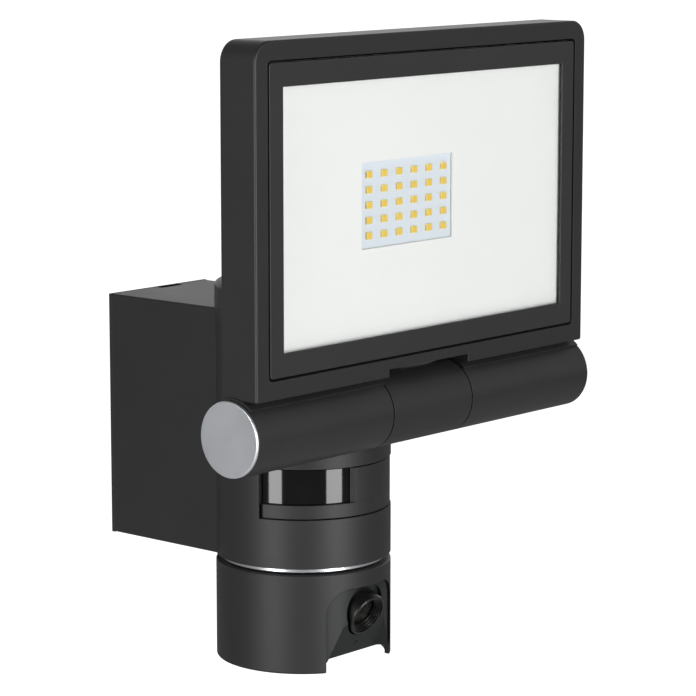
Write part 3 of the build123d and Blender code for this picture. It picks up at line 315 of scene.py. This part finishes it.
def board_finish(name, mask_colour, copper_colour):
    """Solder mask over copper: runs of track show as a slightly lighter, raised pattern."""
    material = bpy.data.materials.new(name)
    material.use_nodes = True
    tree = material.node_tree
    shader = tree.nodes["Principled BSDF"]
    shader.inputs["Coat Weight"].default_value = 0.25
    shader.inputs["Coat Roughness"].default_value = 0.2
    place = tree.nodes.new("ShaderNodeTexCoord")
    track = add_node(tree, "ShaderNodeTexBrick", Scale=260.0, Mortar_Size=0.05, Bias=0.1)
    track.offset = 0.5
    wire(tree, place, "Object", track, "Vector")
    grain = place_group(tree, fine_grain, Scale=3000.0)
    colour = blend_colours(tree, track.outputs["Fac"], mask_colour, copper_colour)
    drifted = blend_colours(tree, grain.outputs["Drift"], colour, shade(mask_colour, 0.7))
    tree.links.new(drifted, shader.inputs["Base Color"])
    rough = maths(tree, "MULTIPLY_ADD", grain.outputs["Speckle"], 0.2, 0.35)
    tree.links.new(rough, shader.inputs["Roughness"])
    relief = add_node(tree, "ShaderNodeBump", Strength=0.3, Distance=0.00004)
    wire(tree, track, "Fac", relief, "Height")
    wire(tree, relief, "Normal", shader, "Normal")
    return material


solder_mask = board_finish("green_solder_mask", (0.02, 0.13, 0.05, 1.0), (0.07, 0.24, 0.09, 1.0))
for board in ("driver_board", "pir_boards", "camera_board", "radio_board"):
    finish_node(board, solder_mask)

black_moulding = surface(
    "black_moulding",
    (0.022, 0.022, 0.024, 1.0),
    0.5,
    grain_scale=3200.0,
    worn_colour=(0.06, 0.06, 0.062, 1.0),
    dust=0.03,
)
for black_piece in ("transformer", "terminal_block", "button_switch", "lens_barrel", "speaker"):
    finish_node(black_piece, black_moulding)

can_aluminium = surface(
    "drawn_can_aluminium",
    (0.52, 0.53, 0.55, 1.0),
    0.3,
    metallic=1.0,
    grain_scale=1500.0,
    grain_strength=0.1,
    worn_colour=(0.75, 0.75, 0.75, 1.0),
    dust=0.02,
)
for can in ("capacitors", "pyro_sensors", "microphone"):
    finish_node(can, can_aluminium)
finish_node("terminal_screws", zinc_plating)

# ---------------------------------------------------------------- main housing
# Wall box and column in one moulding of dark grey ABS, with the fine even bloom that a
# spark-eroded mould leaves. Its corners are eased and a little paler where hands have rubbed.

housing_grey = surface(
    "housing_grey",
    (0.0138, 0.0134, 0.0148, 1.0),
    0.50,
    grain_scale=2600.0,
    grain_depth=0.00003,
    grain_strength=0.22,
    worn_colour=(0.040, 0.039, 0.041, 1.0),
    edge_radius=0.0003,
)
for grey_piece in ("main_housing", "sensor_frame", "lens_shroud", "turret"):
    finish_node(grey_piece, housing_grey)

# ---------------------------------------------------------------- housing screws
# Two zinc-plated pan heads with a cross recess, driven up through the housing's floor. They are
# headed cold, so their rims are soft. The lamp's back and the camera head have more of the kind.

recess_reach_share = 0.62       # cross recess: how far each arm reaches, of the head's radius
recess_width_share = 0.2        # width of each arm, of the head's radius
recess_depth_share = 0.55       # depth, of the head's height
recess_taper = 0.45             # size of the recess's floor, of its mouth
crown_share = 0.78              # radius at which the rim's curve ends, of the head's radius
tip_share = 0.72                # radius of the shaft's end, of the shaft's own


def cross_head_screw(name, head_radius, head_height, shaft_radius, shaft_length):
    """One screw standing on the plane z = 0, head up and shaft down."""
    around = 40
    rim_steps = 6
    crown_steps = 5
    profile = [(0.0, -shaft_length), (tip_share * shaft_radius, -shaft_length)]
    profile.append((shaft_radius, -shaft_length + 0.35 * shaft_radius))
    profile.append((shaft_radius, 0.0))
    profile.append((0.93 * head_radius, 0.0))
    for step in range(rim_steps + 1):
        turn = radians(90 * step / rim_steps)
        profile.append(
            (
                head_radius * (crown_share + (1 - crown_share) * cos(turn)),
                head_height * (0.45 + 0.45 * sin(turn)),
            )
        )
    for step in range(1, crown_steps + 1):
        reach = crown_share * (1 - step / crown_steps)
        fall = 0.10 * (reach / crown_share) ** 2
        profile.append((head_radius * reach, head_height * (1.0 - fall)))
    shape = bmesh.new()
    rings = []
    for radius, height in profile:
        if radius < 1e-7:
            rings.append([shape.verts.new((0, 0, height))])
            continue
        turns = [2 * pi * place / around for place in range(around)]
        rings.append(
            [shape.verts.new((radius * cos(turn), radius * sin(turn), height)) for turn in turns]
        )
    for lower, upper in zip(rings, rings[1:]):
        for place in range(around):
            after = (place + 1) % around
            if len(lower) == 1:
                shape.faces.new((lower[0], upper[after], upper[place]))
            elif len(upper) == 1:
                shape.faces.new((lower[place], lower[after], upper[0]))
            else:
                shape.faces.new((lower[place], lower[after], upper[after], upper[place]))
    bmesh.ops.recalc_face_normals(shape, faces=shape.faces)
    mesh = bpy.data.meshes.new(name)
    shape.to_mesh(mesh)
    shape.free()
    screw = bpy.data.objects.new(name, mesh)
    bpy.context.scene.collection.objects.link(screw)

    cutter_mesh = bpy.data.meshes.new(name + "_cutter")
    cutter_shape = bmesh.new()
    reach = recess_reach_share * head_radius
    half = recess_width_share * head_radius / 2
    deep = recess_depth_share * head_height
    outline = []
    for across, along in ((1, 1), (-1, 1), (-1, -1), (1, -1)):
        corner = [(across * half, along * reach), (across * half, along * half)]
        corner.append((across * reach, along * half))
        outline += corner if across * along < 0 else corner[::-1]
    floor_ring = [
        cutter_shape.verts.new((recess_taper * x, recess_taper * y, head_height - deep))
        for x, y in outline
    ]
    mouth_ring = [cutter_shape.verts.new((x, y, 1.2 * head_height)) for x, y in outline]
    cutter_shape.faces.new(floor_ring[::-1])
    cutter_shape.faces.new(mouth_ring)
    for place in range(len(outline)):
        after = (place + 1) % len(outline)
        cutter_shape.faces.new(
            (floor_ring[place], floor_ring[after], mouth_ring[after], mouth_ring[place])
        )
    bmesh.ops.recalc_face_normals(cutter_shape, faces=cutter_shape.faces)
    cutter_shape.to_mesh(cutter_mesh)
    cutter_shape.free()
    cutter = bpy.data.objects.new(name + "_cutter", cutter_mesh)
    bpy.context.scene.collection.objects.link(cutter)
    cut = screw.modifiers.new("recess", "BOOLEAN")
    cut.object = cutter
    cut.operation = "DIFFERENCE"
    cut.solver = "EXACT"
    bpy.context.view_layer.update()
    cut_mesh = bpy.data.meshes.new_from_object(
        screw.evaluated_get(bpy.context.evaluated_depsgraph_get())
    )
    bpy.data.objects.remove(cutter)
    bpy.data.objects.remove(screw)
    return cut_mesh


def set_of_screws(name, node, body, screw_mesh, places, turn):
    """Copies of one screw at their places, as one piece that stands for a CAD node."""
    joined = bmesh.new()
    for number, place in enumerate(places):
        copy = bmesh.new()
        copy.from_mesh(screw_mesh)
        spin = Matrix.Rotation(radians(23 + 61 * number), 4, "Z")
        copy.transform(Matrix.Translation(place) @ turn @ spin)
        passing = bpy.data.meshes.new("passing")
        copy.to_mesh(passing)
        copy.free()
        joined.from_mesh(passing)
        bpy.data.meshes.remove(passing)
    mesh = bpy.data.meshes.new(name)
    joined.to_mesh(mesh)
    joined.free()
    mesh.materials.append(zinc_plating)
    mesh.shade_smooth()
    mesh.set_sharp_from_angle(angle=radians(35))
    piece = bpy.data.objects.new(name, mesh)
    bpy.context.scene.collection.objects.link(piece)
    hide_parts(node)
    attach(piece, body)


floor_screw_head = 0.0031
floor_screw_thick = 0.0016
floor_screw_shaft = 0.0015
low, high = (Vector(corner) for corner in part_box("housing_screws"))
floor_screw = cross_head_screw(
    "floor_screw",
    floor_screw_head,
    floor_screw_thick,
    floor_screw_shaft,
    high.z - low.z - floor_screw_thick,
)
set_of_screws(
    "floor_screws",
    "housing_screws",
    "wall_unit",
    floor_screw,
    [
        (x, (low.y + high.y) / 2, low.z + floor_screw_thick)
        for x in (low.x + floor_screw_head, high.x - floor_screw_head)
    ],
    Matrix.Rotation(pi, 4, "X"),
)

# ---------------------------------------------------------------- motion sensor
# A curved window round the column: a matt lip, a gloss black lens that passes heat but not
# sight, and behind it three boards with a metal sensor can each. A matt shroud covers one side.

sensor_lens_black = surface(
    "sensor_lens_black",
    (0.0020, 0.0020, 0.0023, 1.0),
    0.07,
    grain_scale=500.0,
    grain_strength=0.06,
    worn_colour=(0.02, 0.02, 0.02, 1.0),
    edge_radius=0.0003,
    dust=0.004,
    roughness_spread=0.03,
)
finish_node("pir_lens", sensor_lens_black)

# ---------------------------------------------------------------- trim ring and lamp end caps
# Aluminium turned on a lathe and left bright, with fine tool rings round the part's own axis.
# The ring sits under the column, and the caps are pushed into the open ends of the barrels.


def turned_metal(name, colour, roughness, axis, centre, ring_contrast):
    """Bright turned metal with tool rings round an axis, X or Z, through a centre."""
    material = bpy.data.materials.new(name)
    material.use_nodes = True
    tree = material.node_tree
    shader = tree.nodes["Principled BSDF"]
    shader.inputs["Metallic"].default_value = 1.0
    place = tree.nodes.new("ShaderNodeTexCoord")
    about = vector_maths(tree, "SUBTRACT", place.outputs["Object"], centre)
    across = (0, 1, 1) if axis == "X" else (1, 1, 0)
    out = tree.nodes.new("ShaderNodeVectorMath")
    out.operation = "LENGTH"
    tree.links.new(vector_maths(tree, "MULTIPLY", about, across), out.inputs[0])
    along = tree.nodes.new("ShaderNodeSeparateXYZ")
    tree.links.new(about, along.inputs[0])
    step = maths(tree, "ADD", out.outputs["Value"], along.outputs[axis])
    ring = add_node(tree, "ShaderNodeTexNoise", Scale=5200.0, Detail=2.0)
    wide_ring = add_node(tree, "ShaderNodeTexNoise", Scale=900.0, Detail=1.0)
    for rings in (ring, wide_ring):
        rings.noise_dimensions = "1D"
        tree.links.new(step, rings.inputs["W"])
    grain = place_group(tree, fine_grain, Scale=1200.0, Drift_Scale=45.0)
    edges = place_group(tree, rubbed_edges, Radius=0.0003)
    dark_ring = shade(colour, 1.0 - ring_contrast)
    light_ring = shade(colour, 1.0 + ring_contrast)
    ringed = blend_colours(tree, wide_ring.outputs["Fac"], dark_ring, light_ring)
    rubbed = maths(tree, "MULTIPLY", edges.outputs["Mask"], 0.5)
    with_wear = blend_colours(tree, rubbed, ringed, shade(colour, 1.25))
    tree.links.new(with_wear, shader.inputs["Base Color"])
    spread = 0.12
    rough = maths(tree, "MULTIPLY_ADD", grain.outputs["Drift"], spread, roughness - spread / 2)
    tree.links.new(rough, shader.inputs["Roughness"])
    relief = add_node(tree, "ShaderNodeBump", Strength=ring_contrast, Distance=0.000005)
    wire(tree, ring, "Fac", relief, "Height")
    wire(tree, edges, "Normal", relief, "Normal")
    wire(tree, relief, "Normal", shader, "Normal")
    return material


joint_places = {joint["name"]: joint.get("pos_m") for joint in frame["joints"]}
column_axis = joint_places["camera_pan"]
tilt_axis = joint_places["lamp_tilt"]
cap_colour = (0.69, 0.71, 0.735, 1.0)
ring_colour = shade(cap_colour, 1.08)
turned_ring = turned_metal("turned_ring", ring_colour, 0.26, "Z", column_axis, 0.04)
finish_node("trim_ring", turned_ring)
turned_cap = turned_metal("turned_cap", cap_colour, 0.42, "X", tilt_axis, 0.02)
for cap in ("end_cap_left", "end_cap_right"):
    finish_node(cap, turned_cap)

# ---------------------------------------------------------------- washers, ring nuts and axle
# Natural nylon friction washers; pressed steel ring nuts that hold the two turning joints
# together; and the hollow steel axle of the tilt hinge with its nuts.

nylon = surface(
    "natural_nylon",
    (0.62, 0.61, 0.56, 1.0),
    0.55,
    grain_scale=1800.0,
    worn_colour=(0.45, 0.44, 0.40, 1.0),
    Subsurface_Weight=0.1,
)
for washer in ("pan_washer", "swivel_washer", "tilt_washers"):
    finish_node(washer, nylon)
for steel_piece in ("swivel_retainer", "pan_retainer", "tilt_axle", "axle_nuts"):
    finish_node(steel_piece, zinc_plating)

# ---------------------------------------------------------------- lamp tray and hinge barrels
# Die-cast aluminium with a dark grey powder coat, stoved on: a faint orange peel over the
# whole skin, and thin spots along the sharpest edges.

powder_coat = surface(
    "grey_powder_coat",
    (0.0155, 0.0151, 0.0162, 1.0),
    0.44,
    grain_scale=1100.0,
    grain_depth=0.00004,
    grain_strength=0.16,
    worn_colour=(0.055, 0.054, 0.056, 1.0),
    edge_radius=0.0003,
)
for cast_piece in ("lamp_housing", "barrel_left", "barrel_right"):
    finish_node(cast_piece, powder_coat)

# ---------------------------------------------------------------- bezel
# Flat frame of grey ABS round the glass, a shade lighter and smoother than the tray, with a
# crisp lip at the opening.

bezel_grey = surface(
    "bezel_grey",
    (0.0230, 0.0226, 0.0222, 1.0),
    0.40,
    grain_scale=3400.0,
    grain_strength=0.15,
    worn_colour=(0.075, 0.075, 0.076, 1.0),
    edge_radius=0.0003,
)
finish_node("bezel", bezel_grey)

# ---------------------------------------------------------------- front glass and its seal
# A flat pane of clear toughened glass behind the bezel's opening. It is bedded on a thin strip of
# black rubber that keeps the rain out of the tray.


def clear_finish(name, tint, ior):
    """Clear glass that lets light through to what stands behind it."""
    material = bpy.data.materials.new(name)
    material.use_nodes = True
    tree = material.node_tree
    shader = tree.nodes["Principled BSDF"]
    shader.inputs["Transmission Weight"].default_value = 1.0
    shader.inputs["IOR"].default_value = ior
    grain = place_group(tree, fine_grain, Scale=700.0, Drift_Scale=20.0)
    smeared = blend_colours(tree, grain.outputs["Drift"], tint, shade(tint, 0.985))
    tree.links.new(smeared, shader.inputs["Base Color"])
    rough = maths(tree, "MULTIPLY", grain.outputs["Drift"], 0.02)
    tree.links.new(rough, shader.inputs["Roughness"])
    relief = add_node(tree, "ShaderNodeBump", Strength=0.02, Distance=0.00001)
    wire(tree, grain, "Height", relief, "Height")
    wire(tree, relief, "Normal", shader, "Normal")
    passing = tree.nodes.new("ShaderNodeBsdfTransparent")
    ray = tree.nodes.new("ShaderNodeLightPath")
    soft_ray = maths(tree, "MAXIMUM", ray.outputs["Is Shadow Ray"], ray.outputs["Is Diffuse Ray"])
    either = tree.nodes.new("ShaderNodeMixShader")
    tree.links.new(soft_ray, either.inputs["Fac"])
    tree.links.new(shader.outputs["BSDF"], either.inputs[1])
    tree.links.new(passing.outputs["BSDF"], either.inputs[2])
    tree.links.new(either.outputs["Shader"], tree.nodes["Material Output"].inputs["Surface"])
    return material


finish_node("front_glass", clear_finish("toughened_glass", (0.99, 1.0, 0.995, 1.0), 1.22))
finish_node("glass_seal", black_rubber)

# ---------------------------------------------------------------- reflector
# Thin white moulding behind the glass that throws the light forward. Its window shows the
# light board.

reflector_white = surface(
    "reflector_white",
    (0.885, 0.895, 0.88, 1.0),
    0.5,
    grain_scale=1500.0,
    grain_depth=0.00001,
    grain_strength=0.1,
    worn_colour=(0.88, 0.88, 0.87, 1.0),
    drift=0.012,
    speckle=0.006,
    dust=0.0,
)
finish_node("reflector", reflector_white)

# ---------------------------------------------------------------- light board
# Aluminium-cored board under a bluish white solder mask. It lies flat on the heat spreader and
# shows through the reflector's window.

white_mask = surface(
    "white_solder_mask",
    (0.73, 0.79, 0.855, 1.0),
    0.42,
    grain_scale=2200.0,
    grain_strength=0.08,
    worn_colour=(0.8, 0.8, 0.78, 1.0),
    drift=0.015,
    speckle=0.01,
    dust=0.0,
)
finish_node("led_board", white_mask)

# ---------------------------------------------------------------- light-emitting diodes
# Thirty surface-mount packages in six columns of five: a moulded tray, the yellow phosphor that
# fills its well, and tinned feet at its two ends. They are soldered to the light board.

led_width = 0.0035
led_height = 0.0028
led_columns = 6
led_rows = 5


def rounded_outline(width, height, radius):
    """Points of a rounded rectangle round the origin, turning anticlockwise."""
    steps = 4
    points = []
    for index, (sign_x, sign_z) in enumerate(((1, 1), (-1, 1), (-1, -1), (1, -1))):
        for step in range(steps + 1):
            turn = radians(90 * index + 90 * step / steps)
            points.append(
                (
                    sign_x * (width / 2 - radius) + radius * cos(turn),
                    sign_z * (height / 2 - radius) + radius * sin(turn),
                )
            )
    return points


def stack_outlines(shape, levels, material_index):
    """Skin a stack of outlines (points, y) into the mesh and close its ends."""
    rings = [[shape.verts.new((x, y, z)) for x, z in points] for points, y in levels]
    made = []
    for lower, upper in zip(rings, rings[1:]):
        for place in range(len(lower)):
            after = (place + 1) % len(lower)
            made.append(shape.faces.new((lower[place], lower[after], upper[after], upper[place])))
    made.append(shape.faces.new(rings[0][::-1]))
    made.append(shape.faces.new(rings[-1]))
    for face in made:
        face.material_index = material_index


low, high = (Vector(corner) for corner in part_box("leds"))
pitch_x = (high.x - low.x - led_width) / (led_columns - 1)
pitch_z = (high.z - low.z - led_height) / (led_rows - 1)
tray_outline = rounded_outline(led_width, led_height, 0.00025)
rim_outline = rounded_outline(led_width - 0.00010, led_height - 0.00010, 0.00022)
well_outline = rounded_outline(led_width - 0.0007, led_height - 0.0006, 0.00055)
well_floor = rounded_outline(led_width - 0.0010, led_height - 0.0009, 0.0005)
fill_outline = rounded_outline(led_width - 0.00072, led_height - 0.00062, 0.00054)
fill_crown = rounded_outline(led_width - 0.0016, led_height - 0.0014, 0.0004)
foot_outline = rounded_outline(0.0005, led_height - 0.0008, 0.00005)
foot_height = 0.00025
foot_out = led_width / 2 - 0.00022
tray_levels = [
    (tray_outline, high.y),
    (tray_outline, low.y + 0.00006),
    (rim_outline, low.y),
    (well_outline, low.y),
    (well_floor, low.y + 0.0004),
]
fill_levels = [
    (fill_outline, low.y + 0.00030),
    (fill_outline, low.y + 0.00005),
    (fill_crown, low.y + 0.00003),
]
packages = bmesh.new()
for column in range(led_columns):
    for row in range(led_rows):
        single = bmesh.new()
        stack_outlines(single, tray_levels, 0)
        stack_outlines(single, fill_levels, 1)
        for side in (-1, 1):
            foot = [(x + side * foot_out, z) for x, z in foot_outline]
            stack_outlines(single, [(foot, high.y), (foot, high.y - foot_height)], 2)
        middle = (
            low.x + led_width / 2 + column * pitch_x,
            0.0,
            low.z + led_height / 2 + row * pitch_z,
        )
        single.transform(Matrix.Translation(middle))
        bmesh.ops.recalc_face_normals(single, faces=single.faces)
        passing = bpy.data.meshes.new("passing")
        single.to_mesh(passing)
        single.free()
        packages.from_mesh(passing)
        bpy.data.meshes.remove(passing)
led_mesh = bpy.data.meshes.new("led_packages")
packages.to_mesh(led_mesh)
packages.free()
led_tray = surface(
    "led_tray",
    (0.86, 0.70, 0.30, 1.0),
    0.4,
    grain_scale=4000.0,
    drift=0.03,
    worn_colour=(0.9, 0.86, 0.7, 1.0),
    edge_radius=0.00008,
    dust=0.0,
)
led_phosphor = surface(
    "led_phosphor",
    (0.93, 0.62, 0.075, 1.0),
    0.35,
    grain_scale=6000.0,
    grain_depth=0.00001,
    drift=0.05,
    speckle=0.12,
    worn_colour=(0.95, 0.72, 0.2, 1.0),
    edge_radius=0.00005,
    dust=0.0,
    Subsurface_Weight=0.15,
    Subsurface_Scale=0.0005,
)
for led_material in (led_tray, led_phosphor, can_aluminium):
    led_mesh.materials.append(led_material)
led_mesh.shade_smooth()
led_mesh.set_sharp_from_angle(angle=radians(30))
led_packages = bpy.data.objects.new("led_packages", led_mesh)
bpy.context.scene.collection.objects.link(led_packages)
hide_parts("leds")
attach(led_packages, "lamp")

# ---------------------------------------------------------------- heat spreader, screws and vent
# A plain milled aluminium plate behind the light board, the four screws in the tray's back, and
# the rubber plug that lets the lamp breathe.

milled_aluminium = surface(
    "milled_aluminium",
    (0.60, 0.61, 0.62, 1.0),
    0.36,
    metallic=1.0,
    grain_scale=800.0,
    grain_strength=0.12,
    worn_colour=(0.78, 0.78, 0.78, 1.0),
    dust=0.02,
)
finish_node("heat_spreader", milled_aluminium)
finish_node("vent_plug", black_rubber)

tray_screw_head = 0.0029
tray_screw_thick = 0.0018
tray_screw_shaft = 0.0015
low, high = (Vector(corner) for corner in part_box("lamp_screws"))
tray_screw = cross_head_screw(
    "tray_screw",
    tray_screw_head,
    tray_screw_thick,
    tray_screw_shaft,
    high.y - low.y - tray_screw_thick,
)
set_of_screws(
    "tray_screws",
    "lamp_screws",
    "lamp",
    tray_screw,
    [
        (x, high.y - tray_screw_thick, z)
        for x in (low.x + tray_screw_head, high.x - tray_screw_head)
        for z in (low.z + tray_screw_head, high.z - tray_screw_head)
    ],
    Matrix.Rotation(-pi / 2, 4, "X"),
)

# ---------------------------------------------------------------- camera head
# Turning shell of the same grey moulding as the column, a recessed floor with speaker slots,
# and a smooth dark insert, set in the shell's arch, that carries the lens.

for grey_piece in ("camera_shell", "bottom_cover"):
    finish_node(grey_piece, housing_grey)

insert_black = surface(
    "insert_black",
    (0.0080, 0.0096, 0.0096, 1.0),
    0.40,
    grain_scale=1800.0,
    grain_strength=0.08,
    worn_colour=(0.045, 0.045, 0.046, 1.0),
    dust=0.02,
    Specular_IOR_Level=0.35,
)
finish_node("camera_insert", insert_black)

# ---------------------------------------------------------------- lens
# A stepped hood moulded in smooth black, set in the insert's tilted plate, with a domed front
# element of coated glass. Behind it, on its board, is the image sensor.

hood_black = surface(
    "hood_black",
    (0.0060, 0.0062, 0.0062, 1.0),
    0.26,
    grain_scale=2000.0,
    grain_depth=0.00001,
    grain_strength=0.06,
    worn_colour=(0.035, 0.035, 0.036, 1.0),
    edge_radius=0.0003,
    dust=0.01,
)
finish_node("lens_hood", hood_black)
finish_node("lens_glass", clear_finish("coated_lens_glass", (0.30, 0.32, 0.22, 1.0), 1.25))
finish_node("image_sensor", sensor_lens_black)

# ---------------------------------------------------------------- head screws
# Three small zinc-plated screws, driven up from below on a circle round the column's axis. They
# hold the recessed floor to the head's shell.

head_screw_head = 0.0025
head_screw_thick = 0.0014
head_screw_shaft = 0.0013
head_screw_angles = (60, 180, 300)
low, high = (Vector(corner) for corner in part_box("cover_screws"))
head_screw = cross_head_screw(
    "head_screw",
    head_screw_head,
    head_screw_thick,
    head_screw_shaft,
    high.z - low.z - head_screw_thick,
)
screw_circle = high.y - head_screw_head - column_axis[1]
set_of_screws(
    "head_screws",
    "cover_screws",
    "camera_head",
    head_screw,
    [
        (
            column_axis[0] + screw_circle * sin(radians(angle)),
            column_axis[1] - screw_circle * cos(radians(angle)),
            low.z + head_screw_thick,
        )
        for angle in head_screw_angles
    ],
    Matrix.Rotation(pi, 4, "X"),
)

# ---------------------------------------------------------------- reset button
# Soft black rubber button in the head's floor, pressed with a fingertip. The switch above it
# springs it back.

finish_node("reset_button", black_rubber)

# ---------------------------------------------------------------- floor, light and camera
# A white studio: a pale floor well below the lamp, a surround that is bright behind it and dim
# in front, and two tall soft boxes, one to the left and one in front, that the camera can't see.

floor_drop = 0.30
floor_mesh = bpy.data.meshes.new("studio_floor")
floor_shape = bmesh.new()
bmesh.ops.create_circle(floor_shape, cap_ends=True, segments=96, radius=60.0)
floor_shape.to_mesh(floor_mesh)
floor_shape.free()
floor = bpy.data.objects.new("studio_floor", floor_mesh)
floor.location = (0, 0, cad_box[0][2] - floor_drop)
bpy.context.scene.collection.objects.link(floor)
floor_paint = bpy.data.materials.new("studio_floor_paint")
floor_paint.use_nodes = True
floor_tree = floor_paint.node_tree
floor_shader = floor_tree.nodes["Principled BSDF"]
floor_shader.inputs["Base Color"].default_value = (0.75, 0.75, 0.75, 1.0)
floor_shader.inputs["Roughness"].default_value = 0.9
floor_shader.inputs["Specular IOR Level"].default_value = 0.0
floor_shader.inputs["Emission Color"].default_value = (1.0, 1.0, 1.0, 1.0)
floor_seen = floor_tree.nodes.new("ShaderNodeLightPath")
wire(floor_tree, floor_seen, "Is Camera Ray", floor_shader, "Emission Strength")
floor_mesh.materials.append(floor_paint)

world = bpy.data.worlds.new("studio_surround")
bpy.context.scene.world = world
world.use_nodes = True
sky = world.node_tree
backdrop = sky.nodes["Background"]
backdrop.inputs["Color"].default_value = (1.0, 1.0, 1.0, 1.0)
front_level = 0.12
back_level = 1.0
back_gather = 1.6       # how closely the brightness gathers round the bright side
bright_side = (0.755, 0.656, 0.0)
glow_level = 1.1
glow_gather = 9.0
overhead_shade = 1.0
looking = sky.nodes.new("ShaderNodeTexCoord").outputs["Generated"]
towards = vector_maths(sky, "DOT_PRODUCT", looking, bright_side, "Value")
behind = maths(sky, "MULTIPLY_ADD", towards, 0.5, 0.5)
gathered = maths(sky, "POWER", behind, back_gather)
around_level = maths(sky, "MULTIPLY_ADD", gathered, back_level - front_level, front_level)
glow = maths(sky, "MULTIPLY", maths(sky, "POWER", behind, glow_gather), glow_level)
sides = sky.nodes.new("ShaderNodeSeparateXYZ")
sky.links.new(looking, sides.inputs[0])
raised = maths(sky, "MAXIMUM", sides.outputs["Z"], 0.0)
dimming = maths(sky, "MULTIPLY_ADD", raised, -overhead_shade, 1.0)
brightness = maths(sky, "MULTIPLY", maths(sky, "ADD", around_level, glow), dimming)
seen = sky.nodes.new("ShaderNodeLightPath")
level = sky.nodes.new("ShaderNodeMix")
level.data_type = "FLOAT"
sky.links.new(seen.outputs["Is Camera Ray"], level.inputs[0])
sky.links.new(brightness, level.inputs[2])
level.inputs[3].default_value = 1.0
sky.links.new(level.outputs[0], backdrop.inputs["Strength"])

box_distance = 1.5
box_low = -0.38
box_height = 1.0


def tall_soft_box(name, angle, width, power):
    """A tall soft box that faces the column from an angle round it, with 0 straight in front."""
    data = bpy.data.lights.new(name, "AREA")
    data.shape = "RECTANGLE"
    data.size = width
    data.size_y = box_height
    data.energy = power
    lamp = bpy.data.objects.new(name, data)
    lamp.location = (
        column_axis[0] + box_distance * sin(radians(angle)),
        column_axis[1] - box_distance * cos(radians(angle)),
        box_low + box_height / 2,
    )
    lamp.rotation_euler = (pi / 2, 0, radians(angle))
    lamp.visible_camera = False
    bpy.context.scene.collection.objects.link(lamp)


tall_soft_box("left_soft_box", -87.0, 0.49, 13.3)
tall_soft_box("front_soft_box", -5.0, 0.60, 16.0)

target = Vector((0.00869, -0.09999, 0.03397))     # the point that the camera looks at
camera_azimuth = radians(-48.975)
camera_elevation = radians(9.375)
camera_distance = 1.18498
camera_data = bpy.data.cameras.new("studio_camera")
camera_data.lens = 150.8
camera_data.sensor_width = 36.0
camera = bpy.data.objects.new("studio_camera", camera_data)
backward = Vector(
    (
        sin(camera_azimuth) * cos(camera_elevation),
        -cos(camera_azimuth) * cos(camera_elevation),
        sin(camera_elevation),
    )
)
camera.location = target + backward * camera_distance
camera.rotation_euler = backward.to_track_quat("Z", "Y").to_euler()
bpy.context.scene.collection.objects.link(camera)
bpy.context.scene.camera = camera
bpy.context.scene.view_settings.view_transform = "Standard"
